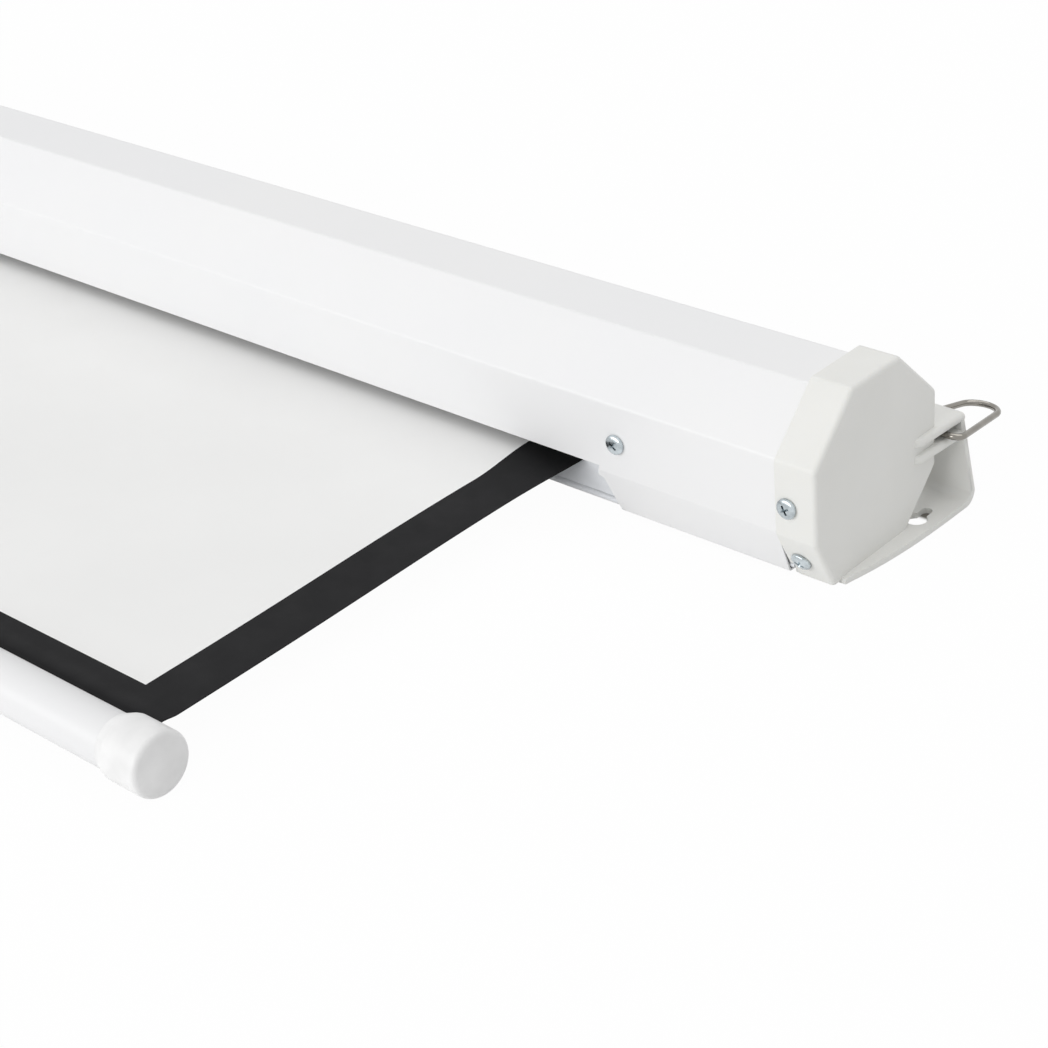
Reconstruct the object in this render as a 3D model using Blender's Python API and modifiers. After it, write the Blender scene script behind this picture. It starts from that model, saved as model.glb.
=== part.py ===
"""Motorized projector screen, lying on its back with the cloth partly drawn out.

X runs along the case, towards the idler end.  Y is up when the screen hangs on a wall.
Z points out of the wall into the room, and z = 0 is the wall or the floor it lies on.
"""
import math

import bmesh
import bpy
from mathutils import Matrix, Vector

# Clearances
GAP = 0.0003                      # between pieces that touch
EPS = 0.001                       # how far a cutter runs past what it cuts

# Case: an octagonal tube of folded sheet
FACE_X = 1.010                    # half the length between the end faces
CASE_WIDTH = 0.079                # across the front and back flats
CASE_HEIGHT = 0.0771
CASE_LIFT = 0.0019                # underside of the case above the wall
SHEET = 0.0008
UPPER_CUT = 0.0230                # upper chamfers, along each side
TOP_BACK_CUT = 0.0259             # from the case's back to the back edge of its top flat
BACK_CUT = 0.0215                 # lower back chamfer, along each side
FACET_DEPTH = 0.0073              # lower front facet, along Y
FACET_HEIGHT = 0.0214             # lower front facet, along Z

# Slot that the cloth leaves by
SLOT_TOP = 0.0236                 # above the underside of the case
SLOT_KNEE = 0.0200                # where the slot's ends start to lean, above the same
SLOT_END_TOP = 0.1110             # from the end face to the slot's end, at its top
SLOT_END_LOW = 0.1062             # the same at its foot
RAIL_THICK = 0.0008
RAIL_WIDTH = 0.0240
RAIL_BEAD = 0.0013                # radius of the rail's rolled edge
RAIL_NECK = 0.0016                # from the bead's middle to where the strip leaves it

# End caps
CAP_DEPTH = 0.0196
CAP_FACE = 0.0025                 # thickness of the end wall
CAP_WALL = 0.0017
CAP_TOP_WALL = 0.0028
CAP_ROUND = 0.0018                # rounding of the outer rim
CAP_FACET_DEPTH = 0.0113
CAP_FACET_HEIGHT = 0.0226

# Mounting flange of an end cap
FLANGE_PLATE = 0.0026
FLANGE_BACK_Y = 0.0575            # outer face of the plate that faces up
FLANGE_TOP_Z = 0.0410
FLANGE_TIP_Y = -0.0255
FLANGE_INSET = 0.0042             # its inner end, from the cap's mouth
FLANGE_OUT = 0.0084               # reach past the end face
FLANGE_TIP_OUT = 0.0018
FLANGE_TOP_OUT = 0.0028
FLANGE_ROUND = 0.0060
RIB_THICK = 0.0044
RIB_LOW_Z = 0.0309                # middle of the lower rib
RIB_HIGH_Z = 0.0393
RIB_INSET = 0.0042                # the ribs' inner ends, from the cap's mouth
RIB_TIP_Y = 0.0255
RIB_TIP_OUT = 0.0016
KEY_X = 0.0010                    # keyhole, inwards from the end face
KEY_Y = 0.0285                    # middle of its wide hole
KEY_WIDE = 0.0048                 # radius of the wide hole
KEY_NARROW = 0.0024               # radius of the narrow end
KEY_TRAVEL = 0.0078

# Wire bail
WIRE = 0.0014                     # radius
BAIL_Y = 0.0450
BAIL_HALF_WIDTH = 0.0133
BAIL_MIDDLE = 0.0053              # inwards from the end face
BAIL_LENGTH = 0.0442
BAIL_TIP_RADIUS = 0.0086
BAIL_CORNER = 0.0042
BAIL_DROOP = math.radians(-10.2)

# Roller, with the cloth wound on it
ROLLER_Y = 0.0
ROLLER_Z = 0.0410
TUBE_RADIUS = 0.0200
TUBE_WALL = 0.0010
WINDING = 0.0052                  # thickness of the cloth wound on the tube
CLOTH_THICK = 0.0005
CLOTH_EDGE = 0.1319               # from the end face to the cloth's side edge

# Cloth and bottom bar
BAR_Y = -0.2775
BAR_RADIUS = 0.0110
BAR_WALL = 0.0012
BAR_CAP_RADIUS = 0.0130
BAR_CAP_END = 0.1153              # from the end face to the bar cap's end
BAR_CAP_LENGTH = 0.0160
BAR_SPIGOT = 0.0120
BAR_SLIT = 0.0022
CLOTH_BAR_Z = 0.0154              # where the cloth meets the bar
CLOTH_CREST_Z = 0.0173            # the cloth's low crest in front of the slot
CLOTH_CREST_Y = -0.0760
KEEPER_RADIUS = 0.0026

# Brackets and the idler end
BRACKET_X = 0.1100                # from the end face to the bracket's inner side
BRACKET_THICK = 0.0015
BRACKET_CLEAR = 0.0005            # to the case's inner side
BRACKET_FOOT = 0.0050             # its lower edge, above the case's underside
TAB_LENGTH = 0.0160
TAB_HEIGHT = 0.0170
CASE_SCREW_X = 0.1013             # from the end face
CASE_SCREW_Z = 0.0383
PIN_RADIUS = 0.0050
PIN_COLLAR = 0.0085
PIN_COLLAR_LENGTH = 0.0028
PIN_THREAD = 0.0040
PIN_LENGTH = 0.0340
NUT_RADIUS = 0.0075
NUT_LENGTH = 0.0040
BUSH_RADIUS = 0.0080
PLUG_LENGTH = 0.0300
PLUG_FLANGE = 0.0020
PLUG_PLAY = 0.0008                # running gap to the collar

# Tubular motor
HEAD_LENGTH = 0.0165
HEAD_RADIUS = 0.0190
RING_FLANGE = 0.0030
RING_SLEEVE = 0.0120
MOTOR_CLEAR = 0.0017              # between the motor and the tube's bore
MOTOR_LENGTH = 0.4200
HOUSING_WALL = 0.0018
MOTOR_SPIGOT = 0.0120             # of the head, inside the motor's housing
SHAFT_RADIUS = 0.0050
SHAFT_LENGTH = 0.0260
WHEEL_LENGTH = 0.0200
WHEEL_NOTCH = 0.0022
RUNNING_GAP = 0.0006              # between turning and fixed pieces
LIMIT_RADIUS = 0.0024
LIMIT_LENGTH = 0.0060
LIMIT_SLOT = 0.0007               # width of its slot
LIMIT_ACCESS = 0.0038             # radius of the bracket's hole over it
LIMIT_Y = 0.0065
LIMIT_Z = 0.0105                  # above the roller's axis
FIXING_Y = 0.0130
FIXING_Z = 0.0050                 # below the roller's axis

# Screws
HEAD_R = 0.0047
HEAD_H = 0.0024
HEAD_DOME = 0.0011                # height of the head's domed part
RECESS_REACH = 0.0026             # from the middle to the end of a recess arm
RECESS_HALF = 0.0005              # half the width of an arm
RECESS_FLOOR = 0.0008             # above the seat
SHANK_R = 0.0018
SHANK_L = 0.0075
CAP_SCREW_X = 0.0135              # from the end face
CAP_SCREW_Z = 0.0375
FACET_SCREW_X = 0.0118
FACET_SCREW_SHARE = 0.53          # down the lower front facet of the cap

# Control box and leads
BOX_X = 0.0300                    # from the end face to the box
BOX_LENGTH = 0.0580
BOX_DEPTH = 0.0240
BOX_HEIGHT = 0.0290
BOX_Z = 0.0405                    # middle
BOX_WALL = 0.0015
BOARD_THICK = 0.0016
BOARD_POST = 0.0040
POST_INSET = 0.0074               # from an end of the board to a post
TERMINAL_LENGTH = 0.0197
TERMINAL_HEIGHT = 0.0097
RELAY_X = 0.0261                  # from the board's end
RELAY_LENGTH = 0.0174
RELAY_HEIGHT = 0.0116
RELAY_DEPTH = 0.0101
PARTS_Z = 0.0463                  # middle of the terminal block and the relay
LEAD_DEPTH = 0.0096               # from the box's mouth to the leads
LEAD_INSIDE = 0.0040              # how far a lead goes past the box's wall
LEAD_RADIUS = 0.0025
LEAD_SLOT = 0.0032
LEAD_DROP = 0.0075                # of the leads, below the box's middle
MOTOR_LEAD_OUT = 0.0125           # below the roller's axis, where it leaves the head
GLAND_Y = 0.0120
GLAND_Z = 0.0330
GLAND_THREAD = 0.0080
GLAND_HEX = 0.0110
GLAND_OUT = 0.0088
GLAND_DOME = 0.0034                # length of its domed nose
GLAND_MOUTH = 0.0068              # radius of the nose's end
GLAND_IN = 0.0095
GLAND_NUT = 0.0045

CASE_HALF = CASE_WIDTH / 2
CASE_TOP = CASE_LIFT + CASE_HEIGHT
CASE_END = FACE_X - CAP_FACE - GAP
CAP_MOUTH = FACE_X - CAP_DEPTH
TUBE_BORE = TUBE_RADIUS - TUBE_WALL
ROLL_RADIUS = TUBE_RADIUS + WINDING
MOTOR_RADIUS = TUBE_BORE - MOTOR_CLEAR
LEAD_Z = BOX_Z - LEAD_DROP
CLOTH_X = FACE_X - CLOTH_EDGE
BRACKET_INNER = FACE_X - BRACKET_X
HEAD_START = BRACKET_INNER - GAP
RING_START = HEAD_START - HEAD_LENGTH - GAP
TUBE_LEFT = RING_START - RING_FLANGE - GAP
PIN_START = BRACKET_INNER - GAP - PIN_COLLAR_LENGTH
PLUG_END = PIN_START - PLUG_PLAY
TUBE_RIGHT = PLUG_END - PLUG_FLANGE - GAP
MOTOR_END = RING_START - MOTOR_LENGTH
BAIL_END_Y = BAIL_Y + BAIL_LENGTH * math.cos(BAIL_DROOP) + WIRE
FOOTPRINT_Y = (BAR_Y - BAR_CAP_RADIUS + BAIL_END_Y) / 2

parts = None
cutters = None
materials = {}


def clear_scene():
    """Remove whatever the file holds."""
    for item in list(bpy.data.objects):
        bpy.data.objects.remove(item, do_unlink=True)


def make_collections():
    """One collection for the pieces and one for what cuts or joins them."""
    global parts, cutters
    parts = bpy.data.collections.new("motorized_projector_screen")
    cutters = bpy.data.collections.new("cutters")
    bpy.context.scene.collection.children.link(parts)
    bpy.context.scene.collection.children.link(cutters)


def make_material(name, colour, roughness, metallic=0.0):
    """A plain Principled material with the part's colour."""
    material = bpy.data.materials.new(name)
    material.use_nodes = True
    shader = material.node_tree.nodes["Principled BSDF"]
    shader.inputs["Base Color"].default_value = (*colour, 1.0)
    shader.inputs["Roughness"].default_value = roughness
    shader.inputs["Metallic"].default_value = metallic
    materials[name] = material


def make_materials():
    """The finishes of the screen's pieces."""
    make_material("white_paint", (0.86, 0.86, 0.87), 0.35)
    make_material("cap_plastic", (0.80, 0.80, 0.77), 0.45)
    make_material("zinc_steel", (0.55, 0.57, 0.60), 0.30, 1.0)
    make_material("bright_wire", (0.52, 0.49, 0.44), 0.22, 1.0)
    make_material("aluminium", (0.70, 0.71, 0.74), 0.35, 1.0)
    make_material("cloth", (0.84, 0.84, 0.82), 0.90)
    make_material("black_plastic", (0.03, 0.03, 0.03), 0.50)
    make_material("grey_plastic", (0.35, 0.36, 0.37), 0.50)
    make_material("bronze", (0.55, 0.38, 0.20), 0.40, 1.0)
    make_material("steel", (0.50, 0.50, 0.51), 0.35, 1.0)
    make_material("board_green", (0.03, 0.22, 0.10), 0.55)
    make_material("terminal_green", (0.05, 0.35, 0.16), 0.50)
    make_material("relay_blue", (0.04, 0.12, 0.40), 0.45)
    make_material("dial_red", (0.60, 0.05, 0.04), 0.45)
    make_material("lead_white", (0.75, 0.75, 0.74), 0.55)


def add_object(name, mesh, material):
    """Put a mesh in the scene as one named piece."""
    item = bpy.data.objects.new(name, mesh)
    mesh.materials.clear()
    mesh.materials.append(materials[material])
    parts.objects.link(item)
    return item


def add_helper(name, mesh):
    """Put a mesh in the scene as a cutter, or as a shape that is joined to a piece."""
    item = bpy.data.objects.new(name, mesh)
    cutters.objects.link(item)
    item.hide_render = True
    item.display_type = "WIRE"
    return item


def set_origin(item, origin):
    """Move a piece's origin without moving the piece."""
    origin = Vector(origin)
    item.data.transform(Matrix.Translation(-origin))
    item.location = origin
    return item


def boolean(item, helper, operation):
    """Add one Boolean step to a piece."""
    step = item.modifiers.new(helper.name, "BOOLEAN")
    step.operation = operation
    step.solver = "EXACT"
    step.object = helper


def cut(item, name, mesh):
    """Cut a piece with a mesh."""
    boolean(item, add_helper(name, mesh), "DIFFERENCE")


def join(item, name, mesh):
    """Join a mesh to a piece."""
    boolean(item, add_helper(name, mesh), "UNION")


def smooth(item, angle=math.radians(35.0)):
    """Shade a round piece smooth, with its edges sharp."""
    item.data.shade_smooth()
    item.data.set_sharp_from_angle(angle=angle)


def finished_mesh(item):
    """Return a piece's mesh with its modifiers done, and remove the piece."""
    graph = bpy.context.evaluated_depsgraph_get()
    mesh = bpy.data.meshes.new_from_object(item.evaluated_get(graph))
    mesh.transform(item.matrix_world)
    bpy.data.objects.remove(item, do_unlink=True)
    return mesh


PLANES = {
    "YZ": Matrix(((0, 0, 1), (1, 0, 0), (0, 1, 0))).to_4x4(),
    "XY": Matrix.Identity(4),
    "XZ": Matrix(((1, 0, 0), (0, 0, -1), (0, 1, 0))).to_4x4(),
}


def prism(outlines, plane, low, high):
    """Extrude flat outlines between two places on the axis square to their plane."""
    curve = bpy.data.curves.new("outline", "CURVE")
    curve.dimensions = "2D"
    curve.fill_mode = "BOTH"
    curve.extrude = (high - low) / 2
    for outline in outlines:
        spline = curve.splines.new("POLY")
        spline.points.add(len(outline) - 1)
        for point, (across, up) in zip(spline.points, outline):
            point.co = (across, up, 0.0, 1.0)
        spline.use_cyclic_u = True
    item = bpy.data.objects.new("outline", curve)
    bpy.context.scene.collection.objects.link(item)
    bpy.context.view_layer.update()
    mesh = finished_mesh(item)
    shape = bmesh.new()
    shape.from_mesh(mesh)
    bmesh.ops.remove_doubles(shape, verts=shape.verts, dist=1e-6)
    bmesh.ops.dissolve_limit(shape, angle_limit=0.001, verts=shape.verts, edges=shape.edges)
    bmesh.ops.recalc_face_normals(shape, faces=shape.faces)
    shape.to_mesh(mesh)
    shape.free()
    middle = (low + high) / 2
    if plane == "XZ":
        middle = -middle
    mesh.transform(PLANES[plane] @ Matrix.Translation((0.0, 0.0, middle)))
    return mesh


def box(low, high):
    """A box between two opposite corners."""
    shape = bmesh.new()
    bmesh.ops.create_cube(shape, size=1.0)
    size = Vector(high) - Vector(low)
    middle = (Vector(high) + Vector(low)) / 2
    bmesh.ops.transform(shape, matrix=Matrix.Translation(middle) @ Matrix.Diagonal((*size, 1.0)),
                        verts=shape.verts)
    mesh = bpy.data.meshes.new("box")
    shape.to_mesh(mesh)
    shape.free()
    return mesh


def aim(direction):
    """Turn +Z to a direction."""
    return Vector((0.0, 0.0, 1.0)).rotation_difference(Vector(direction)).to_matrix().to_4x4()


def cylinder(start, end, radius, segments=32):
    """A cylinder between two points."""
    start = Vector(start)
    end = Vector(end)
    shape = bmesh.new()
    bmesh.ops.create_cone(shape, cap_ends=True, segments=segments, radius1=radius, radius2=radius,
                          depth=(end - start).length)
    place = Matrix.Translation((start + end) / 2) @ aim(end - start)
    bmesh.ops.transform(shape, matrix=place, verts=shape.verts)
    mesh = bpy.data.meshes.new("cylinder")
    shape.to_mesh(mesh)
    shape.free()
    return mesh


def turned(profile, closed, start, direction, steps=32):
    """Turn a profile of (radius, height) points about an axis."""
    mesh = bpy.data.meshes.new("profile")
    points = [(radius, 0.0, height) for radius, height in profile]
    edges = [(index, index + 1) for index in range(len(points) - 1)]
    if closed:
        edges.append((len(points) - 1, 0))
    mesh.from_pydata(points, edges, [])
    item = bpy.data.objects.new("profile", mesh)
    bpy.context.scene.collection.objects.link(item)
    screw = item.modifiers.new("turn", "SCREW")
    screw.steps = steps
    screw.render_steps = steps
    screw.use_merge_vertices = True
    screw.merge_threshold = 1e-6
    bpy.context.view_layer.update()
    result = finished_mesh(item)
    result.transform(Matrix.Translation(Vector(start)) @ aim(direction))
    return result


def arc(centre, radius, start, end, count):
    """Points along an arc, with the angles in degrees."""
    points = []
    for step in range(count + 1):
        angle = math.radians(start + (end - start) * step / count)
        points.append((centre[0] + radius * math.cos(angle), centre[1] + radius * math.sin(angle)))
    return points


def offset(outline, distances):
    """Move each side of a convex anticlockwise outline outwards by its own distance."""
    count = len(outline)
    lines = []
    for index in range(count):
        start = Vector(outline[index])
        along = (Vector(outline[(index + 1) % count]) - start).normalized()
        outwards = Vector((along.y, -along.x))
        lines.append((start + outwards * distances[index], along))
    moved = []
    for index in range(count):
        first, first_along = lines[index - 1]
        second, second_along = lines[index]
        cross = first_along.cross(second_along)
        reach = (second - first).cross(second_along) / cross
        point = first + first_along * reach
        moved.append((point.x, point.y))
    return moved


def octagon(facet_depth, facet_height, top_back_cut=UPPER_CUT):
    """Eight corners in Y and Z, anticlockwise from the foot of the front flat."""
    return [
        (-CASE_HALF, CASE_LIFT + facet_height),
        (-CASE_HALF + facet_depth, CASE_LIFT),
        (CASE_HALF - BACK_CUT, CASE_LIFT),
        (CASE_HALF, CASE_LIFT + BACK_CUT),
        (CASE_HALF, CASE_TOP - UPPER_CUT),
        (CASE_HALF - top_back_cut, CASE_TOP),
        (-CASE_HALF + UPPER_CUT, CASE_TOP),
        (-CASE_HALF, CASE_TOP - UPPER_CUT),
    ]


def case_outline(distance=0.0):
    """The case's outline, moved outwards on every side."""
    return offset(octagon(FACET_DEPTH, FACET_HEIGHT, TOP_BACK_CUT), [distance] * 8)


def cap_outline(wall, top_wall):
    """The cap's outline: facet, underside, lower back, back, upper back, top, upper front, front."""
    under = GAP if wall == GAP else CASE_LIFT
    sides = [wall, under, wall, wall, wall, top_wall, wall, wall]
    return offset(octagon(CAP_FACET_DEPTH, CAP_FACET_HEIGHT), sides)


def hole(item, name, start, end, radius=SHANK_R + GAP):
    """Drill a piece."""
    cut(item, name, cylinder(start, end, radius, 20))


def cap_screw_places(side):
    """Seat and outward direction of the two screws of an end cap."""
    outline = cap_outline(CAP_WALL + GAP, CAP_TOP_WALL + GAP)
    top = Vector(outline[0])
    foot = Vector(outline[1])
    seat = top.lerp(foot, FACET_SCREW_SHARE)
    along = (foot - top).normalized()
    facet = ((side * (FACE_X - FACET_SCREW_X), seat.x, seat.y), (0.0, along.y, -along.x))
    front = ((side * (FACE_X - CAP_SCREW_X), top.x, CAP_SCREW_Z), (0.0, -1.0, 0.0))
    return {"front": front, "facet": facet}


def case_screw_places(side):
    """Seat and outward direction of the two screws that hold a bracket in the case."""
    x = side * (FACE_X - CASE_SCREW_X)
    front = ((x, -CASE_HALF, CASE_SCREW_Z), (0.0, -1.0, 0.0))
    back = ((x, CASE_HALF, CASE_SCREW_Z), (0.0, 1.0, 0.0))
    return {"front": front, "back": back}


def drill_for(item, name, place):
    """Drill a piece for a screw at its place."""
    seat = Vector(place[0])
    outwards = Vector(place[1])
    hole(item, name, seat + outwards * (HEAD_H + EPS), seat - outwards * (SHANK_L + EPS))


def make_case():
    """The folded case, with its slot and the open corner inside each end cap."""
    outer = case_outline()
    inner = case_outline(-SHEET)
    case = add_object("case_shell", prism([outer, inner], "YZ", -CASE_END, CASE_END), "white_paint")
    top = CASE_LIFT + SLOT_TOP
    knee = CASE_LIFT + SLOT_KNEE
    foot = CASE_LIFT + SHEET + GAP / 2
    top_x = FACE_X - SLOT_END_TOP
    foot_x = FACE_X - SLOT_END_LOW
    slot = [(-foot_x, foot), (foot_x, foot), (top_x, knee), (top_x, top), (-top_x, top), (-top_x, knee)]
    front = -CASE_HALF - EPS
    behind = -CASE_HALF + FACET_DEPTH + SHEET
    cut(case, "slot_cut", prism([slot], "XZ", front, behind))
    core = octagon(CAP_FACET_DEPTH, CAP_FACET_HEIGHT)
    out = core[0][0] - EPS
    corner = [core[0], (out, core[0][1]), (out, -EPS), (core[1][0], -EPS), core[1]]
    for side in (-1, 1):
        ends = sorted((side * (CAP_MOUTH - GAP), side * (CASE_END + EPS)))
        cut(case, f"corner_cut_{side_name(side)}", prism([corner], "YZ", *ends))
        for where, place in case_screw_places(side).items():
            drill_for(case, f"case_hole_{where}_{side_name(side)}", place)
        drill_for(case, f"cap_hole_{side_name(side)}", cap_screw_places(side)["front"])


def make_slot_rail():
    """The bright strip behind the slot's lower lip, with its rolled edge."""
    foot = CASE_LIFT + SHEET + GAP
    bead = (-CASE_HALF + FACET_DEPTH + RAIL_BEAD + GAP, foot + RAIL_BEAD)
    outline = arc(bead, RAIL_BEAD, 20.0, 270.0, 9)
    outline.append((bead[0] + RAIL_WIDTH, foot))
    outline.append((bead[0] + RAIL_WIDTH, foot + RAIL_THICK))
    outline.append((bead[0] + RAIL_NECK, foot + RAIL_THICK))
    reach = CAP_MOUTH - GAP
    add_object("slot_rail", prism([outline], "YZ", -reach, reach), "aluminium")


def side_name(side):
    """Name of an end: the idler is at the right and the motor at the left."""
    return "right" if side > 0 else "left"


def mirrored(outline, side):
    """Flip an outline of (x, y) points for the left end."""
    if side > 0:
        return outline
    return [(-across, up) for across, up in reversed(outline)]


def flange_profile():
    """L-shaped section of the mounting flange, in Y and Z."""
    inner = FLANGE_ROUND - FLANGE_PLATE
    corner = (FLANGE_BACK_Y - FLANGE_ROUND, FLANGE_ROUND)
    outline = [(FLANGE_TIP_Y, 0.0)]
    outline += arc(corner, FLANGE_ROUND, -90.0, 0.0, 6)
    outline += [(FLANGE_BACK_Y, FLANGE_TOP_Z), (FLANGE_BACK_Y - FLANGE_PLATE, FLANGE_TOP_Z)]
    outline += arc(corner, inner, 0.0, -90.0, 6)
    outline.append((FLANGE_TIP_Y, FLANGE_PLATE))
    return outline


def flange_reach(share):
    """How far the wall plate stands past the end face, from its tip to its back."""
    return FLANGE_TIP_OUT + (FLANGE_OUT - FLANGE_TIP_OUT) * (1.0 - (1.0 - share) ** 3)


def flange_trim(side):
    """Two cutters that give the flange its curved and slanted outer edges."""
    steps = 8
    plan = []
    for step in range(steps + 1):
        share = step / steps
        y = FLANGE_TIP_Y + (FLANGE_BACK_Y - FLANGE_TIP_Y) * share
        plan.append((FACE_X + flange_reach(share), y))
    plan[0] = (plan[0][0], FLANGE_TIP_Y - EPS)
    plan[-1] = (plan[-1][0], FLANGE_BACK_Y + EPS)
    far = FACE_X + FLANGE_OUT + 2 * EPS
    plan += [(far, FLANGE_BACK_Y + EPS), (far, FLANGE_TIP_Y - EPS)]
    rise = [(FACE_X + FLANGE_OUT, FLANGE_ROUND), (far, FLANGE_ROUND), (far, FLANGE_TOP_Z + EPS),
            (FACE_X + FLANGE_TOP_OUT, FLANGE_TOP_Z + EPS)]
    low = prism([mirrored(plan, side)], "XY", -EPS, FLANGE_TOP_Z + 2 * EPS)
    high = prism([mirrored(rise, side)], "XZ", FLANGE_BACK_Y - 2 * FLANGE_ROUND, FLANGE_BACK_Y + EPS)
    return low, high


def rib_outline(side, back):
    """Plan of one rib, from its tip on the end face to the plate that faces up."""
    inner = CAP_MOUTH + RIB_INSET
    root = back - CAP_WALL / 2
    plate = FLANGE_BACK_Y - FLANGE_PLATE / 2
    outline = [
        (inner, root),
        (FACE_X - CAP_FACE / 2, root),
        (FACE_X - CAP_FACE / 2, RIB_TIP_Y),
        (FACE_X + RIB_TIP_OUT / 2, RIB_TIP_Y),
        (FACE_X + RIB_TIP_OUT, RIB_TIP_Y + RIB_TIP_OUT),
        (FACE_X + FLANGE_TOP_OUT + RIB_TIP_OUT / 2, plate),
        (inner, plate),
    ]
    return mirrored(outline, side)


def keyhole_outline(side):
    """The keyhole, in X and Y, with its narrow end up."""
    x = FACE_X - KEY_X
    flare = math.degrees(math.asin(KEY_NARROW / KEY_WIDE))
    outline = arc((x, KEY_Y), KEY_WIDE, 90.0 + flare, 450.0 - flare, 20)
    outline += arc((x, KEY_Y + KEY_TRAVEL), KEY_NARROW, 0.0, 180.0, 8)
    return mirrored(outline, side)


def rounded_cap(outline, side):
    """The cap's solid outer form, with a rounded rim round its end face."""
    ends = sorted((side * CAP_MOUTH, side * FACE_X))
    mesh = prism([outline], "YZ", *ends)
    shape = bmesh.new()
    shape.from_mesh(mesh)
    rim = [edge for edge in shape.edges
           if all(abs(vert.co.x - side * FACE_X) < EPS / 10 for vert in edge.verts)]
    bmesh.ops.bevel(shape, geom=rim, offset=CAP_ROUND, segments=3, profile=0.5, affect="EDGES")
    shape.to_mesh(mesh)
    shape.free()
    return mesh


def make_end_cap(side):
    """One moulded end cap with its mounting flange, ribs and keyhole."""
    name = side_name(side)
    outline = cap_outline(CAP_WALL + GAP, CAP_TOP_WALL + GAP)
    back = outline[3][0]
    cap = add_object(f"end_cap_{name}", rounded_cap(outline, side), "cap_plastic")
    ends = sorted((side * (CAP_MOUTH - EPS), side * (FACE_X - CAP_FACE)))
    cut(cap, f"cap_cavity_{name}", prism([cap_outline(GAP, GAP)], "YZ", *ends))
    flange_ends = sorted((side * (CAP_MOUTH + FLANGE_INSET), side * (FACE_X + FLANGE_OUT + EPS)))
    flange = add_helper(f"flange_{name}", prism([flange_profile()], "YZ", *flange_ends))
    for index, trim in enumerate(flange_trim(side)):
        cut(flange, f"flange_trim_{name}_{index}", trim)
    cut(flange, f"flange_clear_{name}", prism([cap_outline(GAP, GAP)], "YZ", *ends))
    boolean(cap, flange, "UNION")
    for z in (RIB_LOW_Z, RIB_HIGH_Z):
        label = "low" if z == RIB_LOW_Z else "high"
        plan = rib_outline(side, back)
        join(cap, f"rib_{label}_{name}", prism([plan], "XY", z - RIB_THICK / 2, z + RIB_THICK / 2))
    cut(cap, f"keyhole_{name}", prism([keyhole_outline(side)], "XY", -EPS, FLANGE_PLATE + EPS))
    for where, place in cap_screw_places(side).items():
        drill_for(cap, f"cap_drill_{where}_{name}", place)
    if side < 0:
        start = (-FACE_X - EPS, GLAND_Y, GLAND_Z)
        end = (-FACE_X + CAP_FACE + EPS, GLAND_Y, GLAND_Z)
        hole(cap, "gland_hole", start, end, GLAND_THREAD + GAP)
    return cap


def bail_points():
    """The bail's centre line about its base, as (across, out) points."""
    half = BAIL_HALF_WIDTH
    tip_y = BAIL_LENGTH - BAIL_TIP_RADIUS
    lean = math.degrees(math.atan2(half - BAIL_TIP_RADIUS, tip_y))
    corner_y = BAIL_CORNER
    points = arc((half - BAIL_CORNER, corner_y), BAIL_CORNER, -90.0, lean, 4)
    points += arc((0.0, tip_y), BAIL_TIP_RADIUS, lean, 180.0 - lean, 8)
    points += arc((-half + BAIL_CORNER, corner_y), BAIL_CORNER, 180.0 - lean, 270.0, 4)
    return points


def make_bail(side):
    """A wire bail whose base lies between the ribs of an end cap."""
    curve = bpy.data.curves.new(f"bail_{side_name(side)}", "CURVE")
    curve.dimensions = "3D"
    curve.bevel_depth = WIRE
    curve.bevel_resolution = 2
    spline = curve.splines.new("POLY")
    points = bail_points()
    spline.points.add(len(points) - 1)
    turn = Matrix.Rotation(BAIL_DROOP, 3, "X")
    for point, (across, out) in zip(spline.points, points):
        place = turn @ Vector((across, out, 0.0))
        point.co = (*place, 1.0)
    spline.use_cyclic_u = True
    curve.materials.append(materials["bright_wire"])
    item = bpy.data.objects.new(f"bail_{side_name(side)}", curve)
    parts.objects.link(item)
    middle = (RIB_LOW_Z + RIB_HIGH_Z) / 2
    item.location = (side * (FACE_X - BAIL_MIDDLE), BAIL_Y, middle)


def screw_mesh():
    """A pan-head cross-recessed screw with its head towards +Z."""
    profile = []
    for degrees in (0.0, 30.0, 60.0, 90.0):
        angle = math.radians(degrees)
        profile.append((HEAD_R * math.sin(angle), HEAD_H - HEAD_DOME * (1.0 - math.cos(angle))))
    profile += [(HEAD_R, GAP), (SHANK_R, GAP), (SHANK_R, -SHANK_L + SHANK_R), (0.0, -SHANK_L)]
    screw = add_helper("screw_pattern", turned(profile, False, (0.0, 0.0, 0.0), (0.0, 0.0, 1.0), 20))
    recesses = []
    for x, y in ((RECESS_REACH, RECESS_HALF), (RECESS_HALF, RECESS_REACH)):
        recess = add_helper("recess_pattern", box((-x, -y, RECESS_FLOOR), (x, y, HEAD_H + EPS)))
        boolean(screw, recess, "DIFFERENCE")
        recesses.append(recess)
    bpy.context.view_layer.update()
    mesh = finished_mesh(screw)
    for recess in recesses:
        bpy.data.objects.remove(recess, do_unlink=True)
    mesh.shade_smooth()
    mesh.set_sharp_from_angle(angle=math.radians(35.0))
    mesh.materials.clear()
    mesh.materials.append(materials["zinc_steel"])
    return mesh


def make_screws():
    """Every case and cap screw shares one mesh."""
    mesh = screw_mesh()
    for side in (-1, 1):
        groups = {"cap_screw": cap_screw_places(side), "case_screw": case_screw_places(side)}
        for group, places in groups.items():
            for where, (seat, outwards) in places.items():
                item = bpy.data.objects.new(f"{group}_{where}_{side_name(side)}", mesh)
                parts.objects.link(item)
                item.matrix_world = Matrix.Translation(seat) @ aim(outwards)


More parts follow.
